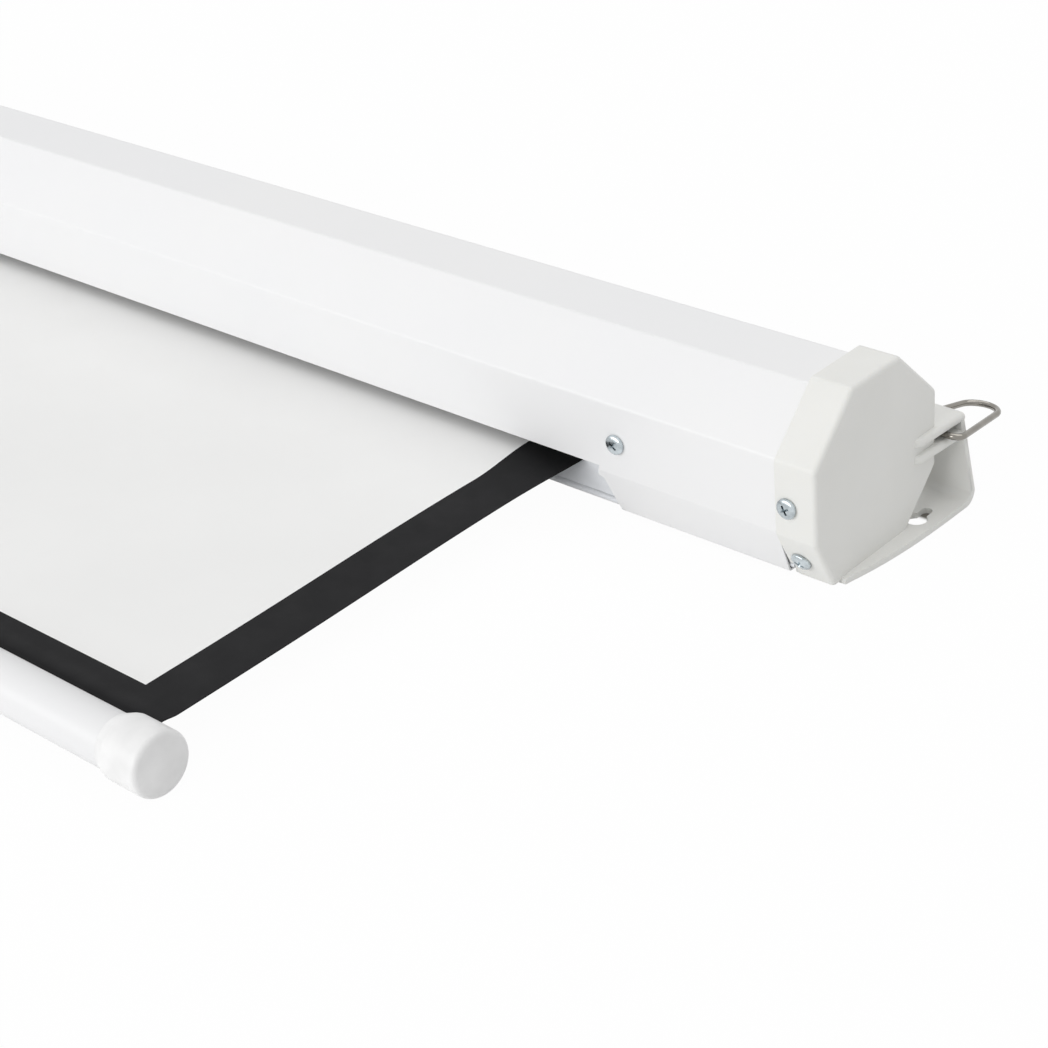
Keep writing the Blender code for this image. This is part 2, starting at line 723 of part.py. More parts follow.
def bracket_outline():
    """A bracket's plate: it fills the case above the slot's rail."""
    outline = case_outline(-SHEET - BRACKET_CLEAR)
    foot = CASE_LIFT + BRACKET_FOOT + RAIL_BEAD
    top_left = Vector(outline[0])
    low_left = Vector(outline[1])
    low_right = Vector(outline[2])
    right = Vector(outline[3])
    left_share = (top_left.y - foot) / (top_left.y - low_left.y)
    right_share = (foot - low_right.y) / (right.y - low_right.y)
    outline[1] = tuple(top_left.lerp(low_left, left_share))
    outline[2] = tuple(low_right.lerp(right, right_share))
    return outline


def make_bracket(side, name):
    """A steel plate across the case with a tab at each flat for its screw."""
    inner = side * BRACKET_INNER
    outer = side * (BRACKET_INNER + BRACKET_THICK)
    outline = bracket_outline()
    plate = add_object(name, prism([outline], "YZ", *sorted((inner, outer))), "zinc_steel")
    tab_end = side * (BRACKET_INNER + BRACKET_THICK + TAB_LENGTH)
    low_z = CASE_SCREW_Z - TAB_HEIGHT / 2
    high_z = CASE_SCREW_Z + TAB_HEIGHT / 2
    reach = CASE_HALF - SHEET - BRACKET_CLEAR
    for where, direction in (("front", -1), ("back", 1)):
        xs = sorted((inner, tab_end))
        ys = sorted((direction * reach, direction * (reach - BRACKET_THICK)))
        join(plate, f"{name}_tab_{where}", box((xs[0], ys[0], low_z), (xs[1], ys[1], high_z)))
        drill_for(plate, f"{name}_drill_{where}", case_screw_places(side)[where])
    return plate


def along_axis(x, y=0.0, z=0.0):
    """A point beside the roller's axis."""
    return (x, ROLLER_Y + y, ROLLER_Z + z)


def make_idler():
    """The idler end: bracket, pin, nut, bush and the plug in the roller's tube."""
    bracket = make_bracket(1, "idler_bracket")
    plate_out = BRACKET_INNER + BRACKET_THICK
    hole_start = along_axis(BRACKET_INNER - EPS)
    hole(bracket, "pin_hole", hole_start, along_axis(plate_out + EPS), PIN_THREAD + GAP)
    thread_end = plate_out + GAP + NUT_LENGTH + 2 * EPS
    collar_end = BRACKET_INNER - GAP
    pin_tip = PIN_START - PIN_LENGTH
    thread_far = thread_end - pin_tip
    collar_far = collar_end - pin_tip
    profile = [(0.0, thread_far), (PIN_THREAD, thread_far), (PIN_THREAD, collar_far),
               (PIN_COLLAR, collar_far), (PIN_COLLAR, PIN_LENGTH), (PIN_RADIUS, PIN_LENGTH),
               (PIN_RADIUS, 0.0), (0.0, 0.0)]
    add_turned("idler_pin", profile, False, pin_tip, "steel")
    nut_start = plate_out + GAP
    nut_end = nut_start + NUT_LENGTH
    nut_mesh = cylinder(along_axis(nut_start), along_axis(nut_end), NUT_RADIUS, 6)
    nut = add_object("idler_pin_nut", nut_mesh, "zinc_steel")
    hole(nut, "nut_bore", along_axis(nut_start - EPS), along_axis(nut_end + EPS), PIN_THREAD + GAP)
    plug_start = PLUG_END - PLUG_LENGTH
    add_ring("idler_bush", BUSH_RADIUS, PIN_RADIUS + GAP, plug_start, PLUG_END, "bronze")
    bore = BUSH_RADIUS + GAP
    profile = [(TUBE_RADIUS, PLUG_LENGTH), (TUBE_RADIUS, PLUG_LENGTH - PLUG_FLANGE),
               (TUBE_BORE - GAP, PLUG_LENGTH - PLUG_FLANGE), (TUBE_BORE - GAP, 0.0), (bore, 0.0),
               (bore, PLUG_LENGTH)]
    add_turned("idler_plug", profile, True, plug_start, "grey_plastic")


def add_turned(name, profile, closed, start_x, material):
    """A smooth piece turned about the roller's axis, with its origin on that axis."""
    item = add_object(name, turned(profile, closed, along_axis(start_x), (1.0, 0.0, 0.0)), material)
    smooth(item)
    return set_origin(item, along_axis(start_x))


def add_ring(name, outer, bore, start_x, end_x, material):
    """A tube about the roller's axis."""
    length = end_x - start_x
    profile = [(outer, length), (outer, 0.0), (bore, 0.0), (bore, length)]
    return add_turned(name, profile, True, start_x, material)


def make_roller():
    """The roller's tube and the cloth wound on it."""
    add_ring("roller_tube", TUBE_RADIUS, TUBE_BORE, -TUBE_LEFT, TUBE_RIGHT, "aluminium")
    add_ring("cloth_roll", ROLL_RADIUS, TUBE_RADIUS + GAP, -CLOTH_X, CLOTH_X, "cloth")


def make_motor():
    """The tubular motor at the left end, from its bracket to the wheel that drives the tube."""
    bracket = make_bracket(-1, "motor_bracket")
    inner = -HEAD_START
    ring_x = -RING_START
    spigot = MOTOR_RADIUS - HOUSING_WALL
    spigot_end = HEAD_LENGTH + MOTOR_SPIGOT
    profile = [(0.0, spigot_end), (spigot, spigot_end), (spigot, HEAD_LENGTH), (HEAD_RADIUS, HEAD_LENGTH),
               (HEAD_RADIUS, 0.0), (0.0, 0.0)]
    head = add_turned("motor_head", profile, False, inner, "black_plastic")
    bore = spigot + GAP
    floor = MOTOR_SPIGOT + GAP
    profile = [(0.0, MOTOR_LENGTH), (MOTOR_RADIUS, MOTOR_LENGTH), (MOTOR_RADIUS, 0.0), (bore, 0.0),
               (bore, floor), (0.0, floor)]
    add_turned("motor_housing", profile, False, ring_x, "steel")
    sleeve = MOTOR_RADIUS + GAP
    length = RING_FLANGE + RING_SLEEVE
    profile = [(TUBE_BORE - GAP, length), (TUBE_BORE - GAP, RING_FLANGE), (TUBE_RADIUS, RING_FLANGE),
               (TUBE_RADIUS, 0.0), (sleeve, 0.0), (sleeve, length)]
    add_turned("limit_ring", profile, True, ring_x, "grey_plastic")
    shaft_start = -MOTOR_END + GAP
    profile = [(0.0, SHAFT_LENGTH), (SHAFT_RADIUS, SHAFT_LENGTH), (SHAFT_RADIUS, 0.0), (0.0, 0.0)]
    add_turned("motor_shaft", profile, False, shaft_start, "steel")
    wheel_start = shaft_start + RUNNING_GAP * 2
    wheel_end = wheel_start + WHEEL_LENGTH
    bore = SHAFT_RADIUS + GAP
    wheel = add_ring("drive_wheel", TUBE_BORE - GAP, bore, wheel_start, wheel_end, "grey_plastic")
    for index in range(4):
        angle = math.radians(45.0 + 90.0 * index)
        y = TUBE_BORE * math.cos(angle)
        z = TUBE_BORE * math.sin(angle)
        start = along_axis(wheel_start - EPS, y, z)
        end = along_axis(wheel_end + EPS, y, z)
        cut(wheel, f"wheel_notch_{index}", cylinder(start, end, WHEEL_NOTCH, 12))
    make_motor_fittings(bracket, head)


def make_motor_fittings(bracket, head):
    """Fixing screws, limit screws and the holes that they and the lead need."""
    face = -BRACKET_INNER
    outside = face - BRACKET_THICK
    mesh = bpy.data.objects["case_screw_front_left"].data
    for where, sign in (("front", -1), ("back", 1)):
        y = sign * FIXING_Y
        z = -FIXING_Z
        item = bpy.data.objects.new(f"motor_screw_{where}", mesh)
        parts.objects.link(item)
        item.matrix_world = Matrix.Translation(along_axis(outside, y, z)) @ aim((-1.0, 0.0, 0.0))
        reach = along_axis(outside + SHANK_L + EPS, y, z)
        hole(bracket, f"fixing_hole_{where}", along_axis(outside - EPS, y, z), reach)
        hole(head, f"fixing_drill_{where}", along_axis(outside - EPS, y, z), reach)
    for label, sign, colour in (("up", 1, "dial_red"), ("down", -1, "lead_white")):
        y = sign * LIMIT_Y
        seat = -HEAD_START + LIMIT_LENGTH / 2
        tip = seat - LIMIT_LENGTH
        start = along_axis(tip, y, LIMIT_Z)
        end = along_axis(seat, y, LIMIT_Z)
        dial = add_object(f"limit_screw_{label}", cylinder(start, end, LIMIT_RADIUS, 20), colour)
        reach = LIMIT_RADIUS + EPS
        slot_low = along_axis(tip - EPS, y - reach, LIMIT_Z - LIMIT_SLOT / 2)
        slot_high = along_axis(tip + EPS, y + reach, LIMIT_Z + LIMIT_SLOT / 2)
        cut(dial, f"limit_slot_{label}", box(slot_low, slot_high))
        smooth(dial)
        set_origin(dial, start)
        past = along_axis(seat + GAP, y, LIMIT_Z)
        before = along_axis(tip - EPS, y, LIMIT_Z)
        hole(head, f"limit_well_{label}", before, past, LIMIT_RADIUS + GAP)
        hole(bracket, f"limit_hole_{label}", before, along_axis(face + EPS, y, LIMIT_Z), LIMIT_ACCESS)
    lead = LEAD_RADIUS + RUNNING_GAP
    start = along_axis(outside - EPS, 0.0, -MOTOR_LEAD_OUT)
    hole(bracket, "lead_hole", start, along_axis(face + EPS, 0.0, -MOTOR_LEAD_OUT), lead)
    hole(head, "lead_well", start, along_axis(face + HEAD_LENGTH / 3, 0.0, -MOTOR_LEAD_OUT), lead)


def cloth_height(y):
    """Middle of the cloth above the wall, from under the roll to the bottom bar."""
    start = ROLLER_Z - ROLL_RADIUS - GAP - CLOTH_THICK / 2
    if y > CLOTH_CREST_Y:
        share = (ROLLER_Y - y) / (ROLLER_Y - CLOTH_CREST_Y)
        return start + (CLOTH_CREST_Z - start) * (1.0 - math.cos(math.pi * share)) / 2
    share = (CLOTH_CREST_Y - y) / (CLOTH_CREST_Y - cloth_end())
    return CLOTH_CREST_Z + (CLOTH_BAR_Z - CLOTH_CREST_Z) * (1.0 - math.cos(math.pi * share)) / 2


def cloth_end():
    """Where the cloth ends inside the bottom bar."""
    return keeper_centre()[0] + KEEPER_RADIUS + GAP


def keeper_centre():
    """Middle of the rod that keeps the cloth in the bar, as (y, z)."""
    reach = BAR_RADIUS - BAR_WALL - GAP - KEEPER_RADIUS
    rise = CLOTH_BAR_Z - BAR_CAP_RADIUS
    return (BAR_Y + math.sqrt(reach ** 2 - rise ** 2), CLOTH_BAR_Z)


def make_cloth():
    """The drawn-out cloth, from its line on the roll to the bar."""
    steps = 24
    end = cloth_end()
    line = []
    for step in range(steps + 1):
        y = ROLLER_Y + (end - ROLLER_Y) * step / steps
        line.append((y, cloth_height(y)))
    half = CLOTH_THICK / 2
    under = [(y, z - half) for y, z in reversed(line)]
    over = [(y, z + half) for y, z in line]
    item = add_object("screen_cloth", prism([under + over], "YZ", -CLOTH_X, CLOTH_X), "cloth")
    smooth(item)


def make_bar():
    """The bottom bar: slit tube, keeper rod and two end caps."""
    bar_x = FACE_X - BAR_CAP_END - BAR_CAP_LENGTH - GAP
    centre = (-bar_x, BAR_Y, BAR_CAP_RADIUS)
    bore = BAR_RADIUS - BAR_WALL
    profile = [(BAR_RADIUS, 2 * bar_x), (BAR_RADIUS, 0.0), (bore, 0.0), (bore, 2 * bar_x)]
    tube = add_object("bottom_bar_tube", turned(profile, True, centre, (1.0, 0.0, 0.0)), "white_paint")
    low = (-bar_x - EPS, BAR_Y, CLOTH_BAR_Z - BAR_SLIT / 2)
    high = (bar_x + EPS, BAR_Y + BAR_RADIUS + EPS, CLOTH_BAR_Z + BAR_SLIT / 2)
    cut(tube, "bar_slit", box(low, high))
    smooth(tube)
    keeper_y, keeper_z = keeper_centre()
    keeper_x = bar_x - BAR_SPIGOT - GAP
    rod = cylinder((-keeper_x, keeper_y, keeper_z), (keeper_x, keeper_y, keeper_z), KEEPER_RADIUS, 20)
    smooth(add_object("cloth_keeper_rod", rod, "grey_plastic"))
    for side in (-1, 1):
        inner = side * (FACE_X - BAR_CAP_END - BAR_CAP_LENGTH)
        spigot = bore - GAP
        profile = [(0.0, BAR_CAP_LENGTH)]
        profile += arc((BAR_CAP_RADIUS - CAP_ROUND, BAR_CAP_LENGTH - CAP_ROUND), CAP_ROUND, 90.0, 0.0, 3)
        profile += [(BAR_CAP_RADIUS, 0.0), (spigot, 0.0), (spigot, -BAR_SPIGOT), (0.0, -BAR_SPIGOT)]
        mesh = turned(profile, False, (inner, BAR_Y, BAR_CAP_RADIUS), (side, 0.0, 0.0))
        cap = add_object(f"bar_cap_{side_name(side)}", mesh, "cap_plastic")
        xs = sorted((inner - side * (BAR_SPIGOT + EPS), inner - side * GAP))
        slit = box((xs[0], BAR_Y, low[2]), (xs[1], BAR_Y + BAR_RADIUS, high[2]))
        cut(cap, f"bar_cap_slit_{side_name(side)}", slit)
        smooth(cap)


def lead(name, points, material="lead_white"):
    """A round lead along a route."""
    curve = bpy.data.curves.new(name, "CURVE")
    curve.dimensions = "3D"
    curve.bevel_depth = LEAD_RADIUS
    curve.bevel_resolution = 2
    curve.use_fill_caps = True
    spline = curve.splines.new("POLY")
    spline.points.add(len(points) - 1)
    for point, place in zip(spline.points, points):
        point.co = (*place, 1.0)
    curve.materials.append(materials[material])
    item = bpy.data.objects.new(name, curve)
    parts.objects.link(item)


def ease(start, end, count):
    """A smooth S from one point to another, leaving and arriving along X."""
    start = Vector(start)
    end = Vector(end)
    points = []
    for step in range(count + 1):
        share = step / count
        bend = share * share * (3.0 - 2.0 * share)
        points.append((start.x + (end.x - start.x) * share, start.y + (end.y - start.y) * bend,
                       start.z + (end.z - start.z) * bend))
    return points


def make_control_box():
    """The receiver box on the case's back flat, with its board and parts."""
    back = CASE_HALF - SHEET - GAP
    low_x = -FACE_X + BOX_X
    high_x = low_x + BOX_LENGTH
    low = Vector((low_x, back - BOX_DEPTH, BOX_Z - BOX_HEIGHT / 2))
    high = Vector((high_x, back, BOX_Z + BOX_HEIGHT / 2))
    wall = Vector((BOX_WALL, BOX_WALL, BOX_WALL))
    tray = add_object("control_box", box(low, high), "black_plastic")
    inside_low = low + wall
    inside_high = high - wall
    cut(tray, "box_inside", box((inside_low.x, low.y - EPS, inside_low.z), inside_high))
    middle_y = low.y + LEAD_DEPTH
    for label, x in (("mains", low_x), ("motor", high_x)):
        hole(tray, f"box_hole_{label}", (x - BOX_WALL - EPS, middle_y, LEAD_Z),
             (x + BOX_WALL + EPS, middle_y, LEAD_Z), LEAD_SLOT)
    lid_low = (low.x, low.y - GAP - BOX_WALL, low.z)
    add_object("control_lid", box(lid_low, (high.x, low.y - GAP, high.z)), "black_plastic")
    board_back = inside_high.y - BOARD_POST
    inset = 2 * BOX_WALL
    board_low = (inside_low.x + inset, board_back - BOARD_THICK, inside_low.z + GAP)
    board_high = (inside_high.x - inset, board_back, inside_high.z - GAP)
    add_object("control_board", box(board_low, board_high), "board_green")
    for label, x in (("left", board_low[0] + POST_INSET), ("right", board_high[0] - POST_INSET)):
        start = (x, board_back + GAP, BOX_Z)
        end = (x, inside_high.y + BOX_WALL / 2, BOX_Z)
        join(tray, f"board_post_{label}", cylinder(start, end, BOARD_POST / 2, 16))
    face = board_low[1] - GAP
    for name, start, length, height, colour in (
            ("terminal_block", board_low[0], TERMINAL_LENGTH, TERMINAL_HEIGHT, "terminal_green"),
            ("relay", board_low[0] + RELAY_X, RELAY_LENGTH, RELAY_HEIGHT, "relay_blue")):
        corner = (start, face - RELAY_DEPTH, PARTS_Z - height / 2)
        add_object(name, box(corner, (start + length, face, PARTS_Z + height / 2)), colour)
    inside = BOX_WALL + LEAD_INSIDE
    motor_start = along_axis(-BRACKET_INNER + HEAD_LENGTH / 4, 0.0, -MOTOR_LEAD_OUT)
    motor_bend = along_axis(-BRACKET_INNER - BRACKET_THICK - EPS, 0.0, -MOTOR_LEAD_OUT)
    route = [motor_start] + ease(motor_bend, (high_x + EPS, middle_y, LEAD_Z), 12)
    lead("motor_lead", route + [(high_x - inside, middle_y, LEAD_Z)])
    gland_inner = (-FACE_X + CAP_FACE + GLAND_IN + GAP, GLAND_Y, GLAND_Z)
    route = ease(gland_inner, (low_x - EPS, middle_y, LEAD_Z), 10)
    lead("mains_lead", route + [(low_x + inside, middle_y, LEAD_Z)])


def make_gland():
    """The cable gland in the left cap's end wall, with its lock nut inside."""
    outside = -FACE_X - GAP
    inner = -FACE_X + CAP_FACE + GLAND_IN
    length = inner - (outside - GLAND_OUT)
    bore = LEAD_RADIUS + RUNNING_GAP
    profile = [(GLAND_THREAD, length), (GLAND_THREAD, GLAND_OUT), (GLAND_HEX, GLAND_OUT),
               (GLAND_HEX, GLAND_DOME), (GLAND_MOUTH, 0.0), (bore, 0.0), (bore, length)]
    start = (outside - GLAND_OUT, GLAND_Y, GLAND_Z)
    smooth(add_object("cable_gland", turned(profile, True, start, (1.0, 0.0, 0.0)), "grey_plastic"))
    nut_x = -FACE_X + CAP_FACE + GAP
    nut_end = nut_x + GLAND_NUT
    nut_mesh = cylinder((nut_x, GLAND_Y, GLAND_Z), (nut_end, GLAND_Y, GLAND_Z), GLAND_HEX, 6)
    nut = add_object("gland_nut", nut_mesh, "grey_plastic")
    bore_start = (nut_x - EPS, GLAND_Y, GLAND_Z)
    bore_end = (nut_end + EPS, GLAND_Y, GLAND_Z)
    hole(nut, "gland_nut_bore", bore_start, bore_end, GLAND_THREAD + GAP)


def centre_footprint():
    """Put the origin under the middle of the screen's outline seen from above."""
    for item in bpy.data.objects:
        item.location.y -= FOOTPRINT_Y


def main():
    clear_scene()
    make_collections()
    make_materials()
    make_case()
    make_slot_rail()
    for side in (-1, 1):
        make_end_cap(side)
        make_bail(side)
    make_screws()
    make_idler()
    make_roller()
    make_motor()
    make_cloth()
    make_bar()
    make_control_box()
    make_gland()
    centre_footprint()


main()
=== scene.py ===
# %% [markdown]
# # A motorized projector screen
#
# The screen lies on its back with about a quarter of a metre of cloth drawn out. On the real
# object the case is one folded sheet of painted metal, the ends are moulded caps, and the cloth
# hangs from a tube that a motor turns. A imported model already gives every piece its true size
# and place. These cells load it, give the visible pieces their soft edges and fine detail, and
# paint each surface.

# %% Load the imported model
import math
from contextlib import contextmanager

import bmesh
import bpy
from mathutils import Matrix, Vector


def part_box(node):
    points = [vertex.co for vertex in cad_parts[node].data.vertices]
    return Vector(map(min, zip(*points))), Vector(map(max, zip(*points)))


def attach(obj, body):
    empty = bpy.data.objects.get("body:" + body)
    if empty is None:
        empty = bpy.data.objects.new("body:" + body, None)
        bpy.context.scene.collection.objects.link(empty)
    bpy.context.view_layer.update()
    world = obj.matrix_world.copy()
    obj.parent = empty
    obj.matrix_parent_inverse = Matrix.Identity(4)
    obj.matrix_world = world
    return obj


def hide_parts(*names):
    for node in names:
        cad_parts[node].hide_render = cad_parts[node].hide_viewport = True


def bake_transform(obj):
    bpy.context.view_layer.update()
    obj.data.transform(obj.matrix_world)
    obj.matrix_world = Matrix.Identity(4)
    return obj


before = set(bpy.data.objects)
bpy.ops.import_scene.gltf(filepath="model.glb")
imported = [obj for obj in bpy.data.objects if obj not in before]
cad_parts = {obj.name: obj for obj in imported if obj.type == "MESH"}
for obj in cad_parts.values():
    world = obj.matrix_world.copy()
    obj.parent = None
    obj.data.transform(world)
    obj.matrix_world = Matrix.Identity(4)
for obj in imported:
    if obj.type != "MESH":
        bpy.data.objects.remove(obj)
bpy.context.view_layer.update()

# %% [markdown]
# ## Where things are
#
# X runs along the case towards the idler end, Y is up once the screen hangs, and Z points into
# the room. Sizes could be typed in again, but reading them from the model keeps both in step,
# so only the sizes that the model can't tell us are named here.

# %% Places from the model
GAP = 0.0003
SHEET = 0.0008
END_WALL = 0.0025
case_low, case_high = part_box("case_shell")
tube_low, tube_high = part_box("roller_tube")
case_middle_y = (case_low.y + case_high.y) / 2
roller_z = (tube_low.z + tube_high.z) / 2
face_x = case_high.x + GAP + END_WALL
print("end faces at", round(face_x, 4), "case middle at y", round(case_middle_y, 4))

# %% [markdown]
# ## The camera
#
# The picture was taken from in front of the idler end and above it, about a metre away. The
# angle, the height and the slight tilt come from the lines of the case, whose real directions
# are known, and the lens from how fast the far end shrinks.

# %% Camera
LENS = 80.84
AZIMUTH = math.radians(44.41)
ELEVATION = math.radians(30.264)
TILT = math.radians(-5.315)
CAMERA_PLACE = Vector((1.4709, case_middle_y - 0.6709, 0.4975))


def new_object(name, data):
    """An object for a mesh, curve, light or camera, put into the scene."""
    item = bpy.data.objects.new(name, data)
    bpy.context.scene.collection.objects.link(item)
    return item


backwards = Vector((math.sin(AZIMUTH) * math.cos(ELEVATION),
                    -math.cos(AZIMUTH) * math.cos(ELEVATION),
                    math.sin(ELEVATION)))
level = Vector((math.cos(AZIMUTH), math.sin(AZIMUTH), 0.0))
upright = backwards.cross(level)
right = level * math.cos(TILT) + upright * math.sin(TILT)
up = upright * math.cos(TILT) - level * math.sin(TILT)
axes = Matrix((right, up, backwards)).transposed()
lens = bpy.data.cameras.new("camera")
lens.lens = LENS
camera = new_object("camera", lens)
camera.matrix_world = Matrix.Translation(CAMERA_PLACE) @ axes.to_4x4()
bpy.context.scene.camera = camera
bpy.context.scene.view_settings.view_transform = "Standard"
print("camera looks along", [round(value, 3) for value in -backwards])

# %% [markdown]
# ## Light and floor
#
# A product photograph like this one is lit from all round, with a broad lamp at the front and
# another overhead, so that white paint shows its facets without hard shadows. The world gives
# the even part. Rays that come straight from the camera, or off gloss, see plain white instead,
# which leaves the amount of light on the screen alone. The floor does the same, except under
# the case and the wall plate, where its colour is painted dark: a painted shade that darkens the
# gap under them and what shows through the keyhole.

# %% World
EVEN_LIGHT = 0.55
WHITE = (1.0, 1.0, 1.0, 1.0)


def joined_values(tree, operation, first, second):
    """One number made from two."""
    step = tree.nodes.new("ShaderNodeMath")
    step.operation = operation
    tree.links.new(first, step.inputs[0])
    tree.links.new(second, step.inputs[1])
    return step.outputs["Value"]


def seen_rays(tree):
    """One for rays from the camera, off gloss or through glass, and zero for the light itself."""
    path = tree.nodes.new("ShaderNodeLightPath")
    total = path.outputs["Is Camera Ray"]
    for name in ("Is Glossy Ray", "Is Transmission Ray"):
        total = joined_values(tree, "MAXIMUM", total, path.outputs[name])
    return total


def chosen(tree, share, first, second):
    """One shader where the share is zero and the other where it is one."""
    choose = tree.nodes.new("ShaderNodeMixShader")
    tree.links.new(share, choose.inputs["Fac"])
    tree.links.new(first, choose.inputs[1])
    tree.links.new(second, choose.inputs[2])
    return choose.outputs["Shader"]


world = bpy.data.worlds.new("studio")
bpy.context.scene.world = world
world.use_nodes = True
sky = world.node_tree
even = sky.nodes["Background"]
even.inputs["Strength"].default_value = EVEN_LIGHT
white = sky.nodes.new("ShaderNodeBackground")
for background in (even, white):
    background.inputs["Color"].default_value = WHITE
both = chosen(sky, seen_rays(sky), even.outputs["Background"], white.outputs["Background"])
sky.links.new(both, sky.nodes["World Output"].inputs["Surface"])
print("even light", EVEN_LIGHT)

# %% Floor helpers
SPAN_ENDS = ("From Min", "From Max", "To Min", "To Max")


def outside_of(tree, x_half, y_low, y_high):
    """How far a point of the floor lies outside a rectangle about the middle of the case."""
    place = tree.nodes.new("ShaderNodeTexCoord")
    apart = tree.nodes.new("ShaderNodeSeparateXYZ")
    tree.links.new(place.outputs["Object"], apart.inputs["Vector"])
    spans = (("X", 0.0, x_half), ("Y", (y_low + y_high) / 2, (y_high - y_low) / 2))
    distances = []
    for axis, middle, reach in spans:
        value = apart.outputs[axis]
        for operation, amount in (("SUBTRACT", middle), ("ABSOLUTE", 0.0), ("SUBTRACT", reach)):
            step = tree.nodes.new("ShaderNodeMath")
            step.operation = operation
            step.inputs[1].default_value = amount
            tree.links.new(value, step.inputs[0])
            value = step.outputs["Value"]
        distances.append(value)
    return joined_values(tree, "MAXIMUM", *distances)


def mapped(tree, value, ends, way="LINEAR"):
    """A number moved from one span to another."""
    span = tree.nodes.new("ShaderNodeMapRange")
    span.interpolation_type = way
    for name, end in zip(SPAN_ENDS, ends):
        span.inputs[name].default_value = end
    tree.links.new(value, span.inputs["Value"])
    return span.outputs["Result"]


def toned(tree, value, stops):
    """A colour that a number picks between two (place, colour) stops."""
    ramp = tree.nodes.new("ShaderNodeValToRGB")
    for stop, (place, colour) in zip(ramp.color_ramp.elements, stops):
        stop.position = place
        stop.color = (*colour, 1.0)
    tree.links.new(value, ramp.inputs["Fac"])
    return ramp.outputs["Color"]


print("floor helpers are ready")

# %% Floor
FLOOR_HALF = 6.0
FLOOR_WHITE = 0.97
FLOOR_TONE = (0.86, 0.86, 0.86)
# Painted shade: the floor is coloured dark under the case and under the wall plate, whose keyhole
# shows it; these numbers give that colour, its soft edge and the two rectangles.
PAINTED_SHADE_TONE = (0.22, 0.21, 0.19)
PAINTED_SHADE_EDGE = 0.003
CASE_SHADE_SHORT = 0.005
CASE_SHADE_FRONT = 0.019
CASE_SHADE_BACK = 0.008
PLATE_SHADE_PAST = 0.0060
PLATE_SHADE_FRONT = 0.0325
PLATE_SHADE_BACK = 0.050

bpy.ops.mesh.primitive_plane_add(size=2 * FLOOR_HALF, location=(0.0, 0.0, 0.0))
floor = bpy.context.object
floor.name = "floor"
paper = bpy.data.materials.new("white_floor_painted_shade")
paper.use_nodes = True
tree = paper.node_tree
tree.nodes.remove(tree.nodes["Principled BSDF"])
matt = tree.nodes.new("ShaderNodeBsdfDiffuse")
glow = tree.nodes.new("ShaderNodeEmission")
glow.inputs["Color"].default_value = WHITE
# The floor's colour is painted dark as shade inside these two rectangles, under the case and under
# the wall plate.
painted_shade_under_case = outside_of(tree, face_x - CASE_SHADE_SHORT,
                        case_low.y + CASE_SHADE_FRONT, case_high.y + CASE_SHADE_BACK)
painted_shade_under_plate = outside_of(tree, face_x + PLATE_SHADE_PAST,
                         case_middle_y + PLATE_SHADE_FRONT, case_middle_y + PLATE_SHADE_BACK)
distance = joined_values(tree, "MINIMUM", painted_shade_under_case, painted_shade_under_plate)
painted_shade_fade = mapped(tree, distance, (-PAINTED_SHADE_EDGE, 0.0, 0.0, FLOOR_WHITE), "SMOOTHSTEP")
# The floor's diffuse colour: painted shade inside the rectangles, the plain floor colour outside
# them.
tone = toned(tree, painted_shade_fade, ((0.0, PAINTED_SHADE_TONE), (FLOOR_WHITE, FLOOR_TONE)))
tree.links.new(tone, matt.inputs["Color"])
share = joined_values(tree, "MULTIPLY", seen_rays(tree), painted_shade_fade)
lightened = chosen(tree, share, matt.outputs["BSDF"], glow.outputs["Emission"])
tree.links.new(lightened, tree.nodes["Material Output"].inputs["Surface"])
floor.data.materials.append(paper)
print("floor reaches", FLOOR_HALF, "m each way")


# %% Lamps
def add_lamp(name, place, target, width, height, power):
    """A rectangular softbox that faces a point."""
    light = bpy.data.lights.new(name, "AREA")
    light.shape = "RECTANGLE"
    light.size = width
    light.size_y = height
    light.energy = power
    lamp = new_object(name, light)
    lamp.location = place
    lamp.rotation_euler = (Vector(target) - Vector(place)).to_track_quat("-Z", "Y").to_euler()


add_lamp("front_softbox", place=(0.1, -2.45, 1.05), target=(0.3, case_middle_y, 0.04),
         width=3.2, height=1.1, power=43.0)
add_lamp("top_softbox", place=(1.0, case_middle_y + 0.90, 2.10), target=(0.7, case_middle_y, 0.04),
         width=3.2, height=1.6, power=19.0)

# %% [markdown]
# ## Helpers for materials
#
# A Principled shader takes the plain values. What makes a surface real is small and uneven: a
# grain in the height, a little change in roughness, a slight drift of colour. One helper lays a
# noise in the object's own metres, and three more let it move the height, a value or a colour.
# A noise seldom leaves the middle of its span, so only that middle is used.

# %% Material helpers
EVEN_GRAIN = (1.0, 1.0, 1.0)
NOISE_ENDS = (0.3, 0.7)
DRIFT_ENDS = (0.35, 0.65)


def shader_of(material):
    """The node that takes a material's plain values."""
    return material.node_tree.nodes["Principled BSDF"]


def finish(name, colour, roughness, metallic=0.0):
    """A new material with its plain values."""
    material = bpy.data.materials.new(name)
    material.use_nodes = True
    shader = shader_of(material)
    shader.inputs["Base Color"].default_value = (*colour, 1.0)
    shader.inputs["Roughness"].default_value = roughness
    shader.inputs["Metallic"].default_value = metallic
    return material


def object_place(material, stretch):
    """The object's own coordinates, stretched along each axis."""
    tree = material.node_tree
    place = tree.nodes.new("ShaderNodeTexCoord")
    scale = tree.nodes.new("ShaderNodeMapping")
    scale.inputs["Scale"].default_value = stretch
    tree.links.new(place.outputs["Object"], scale.inputs["Vector"])
    return scale.outputs["Vector"]


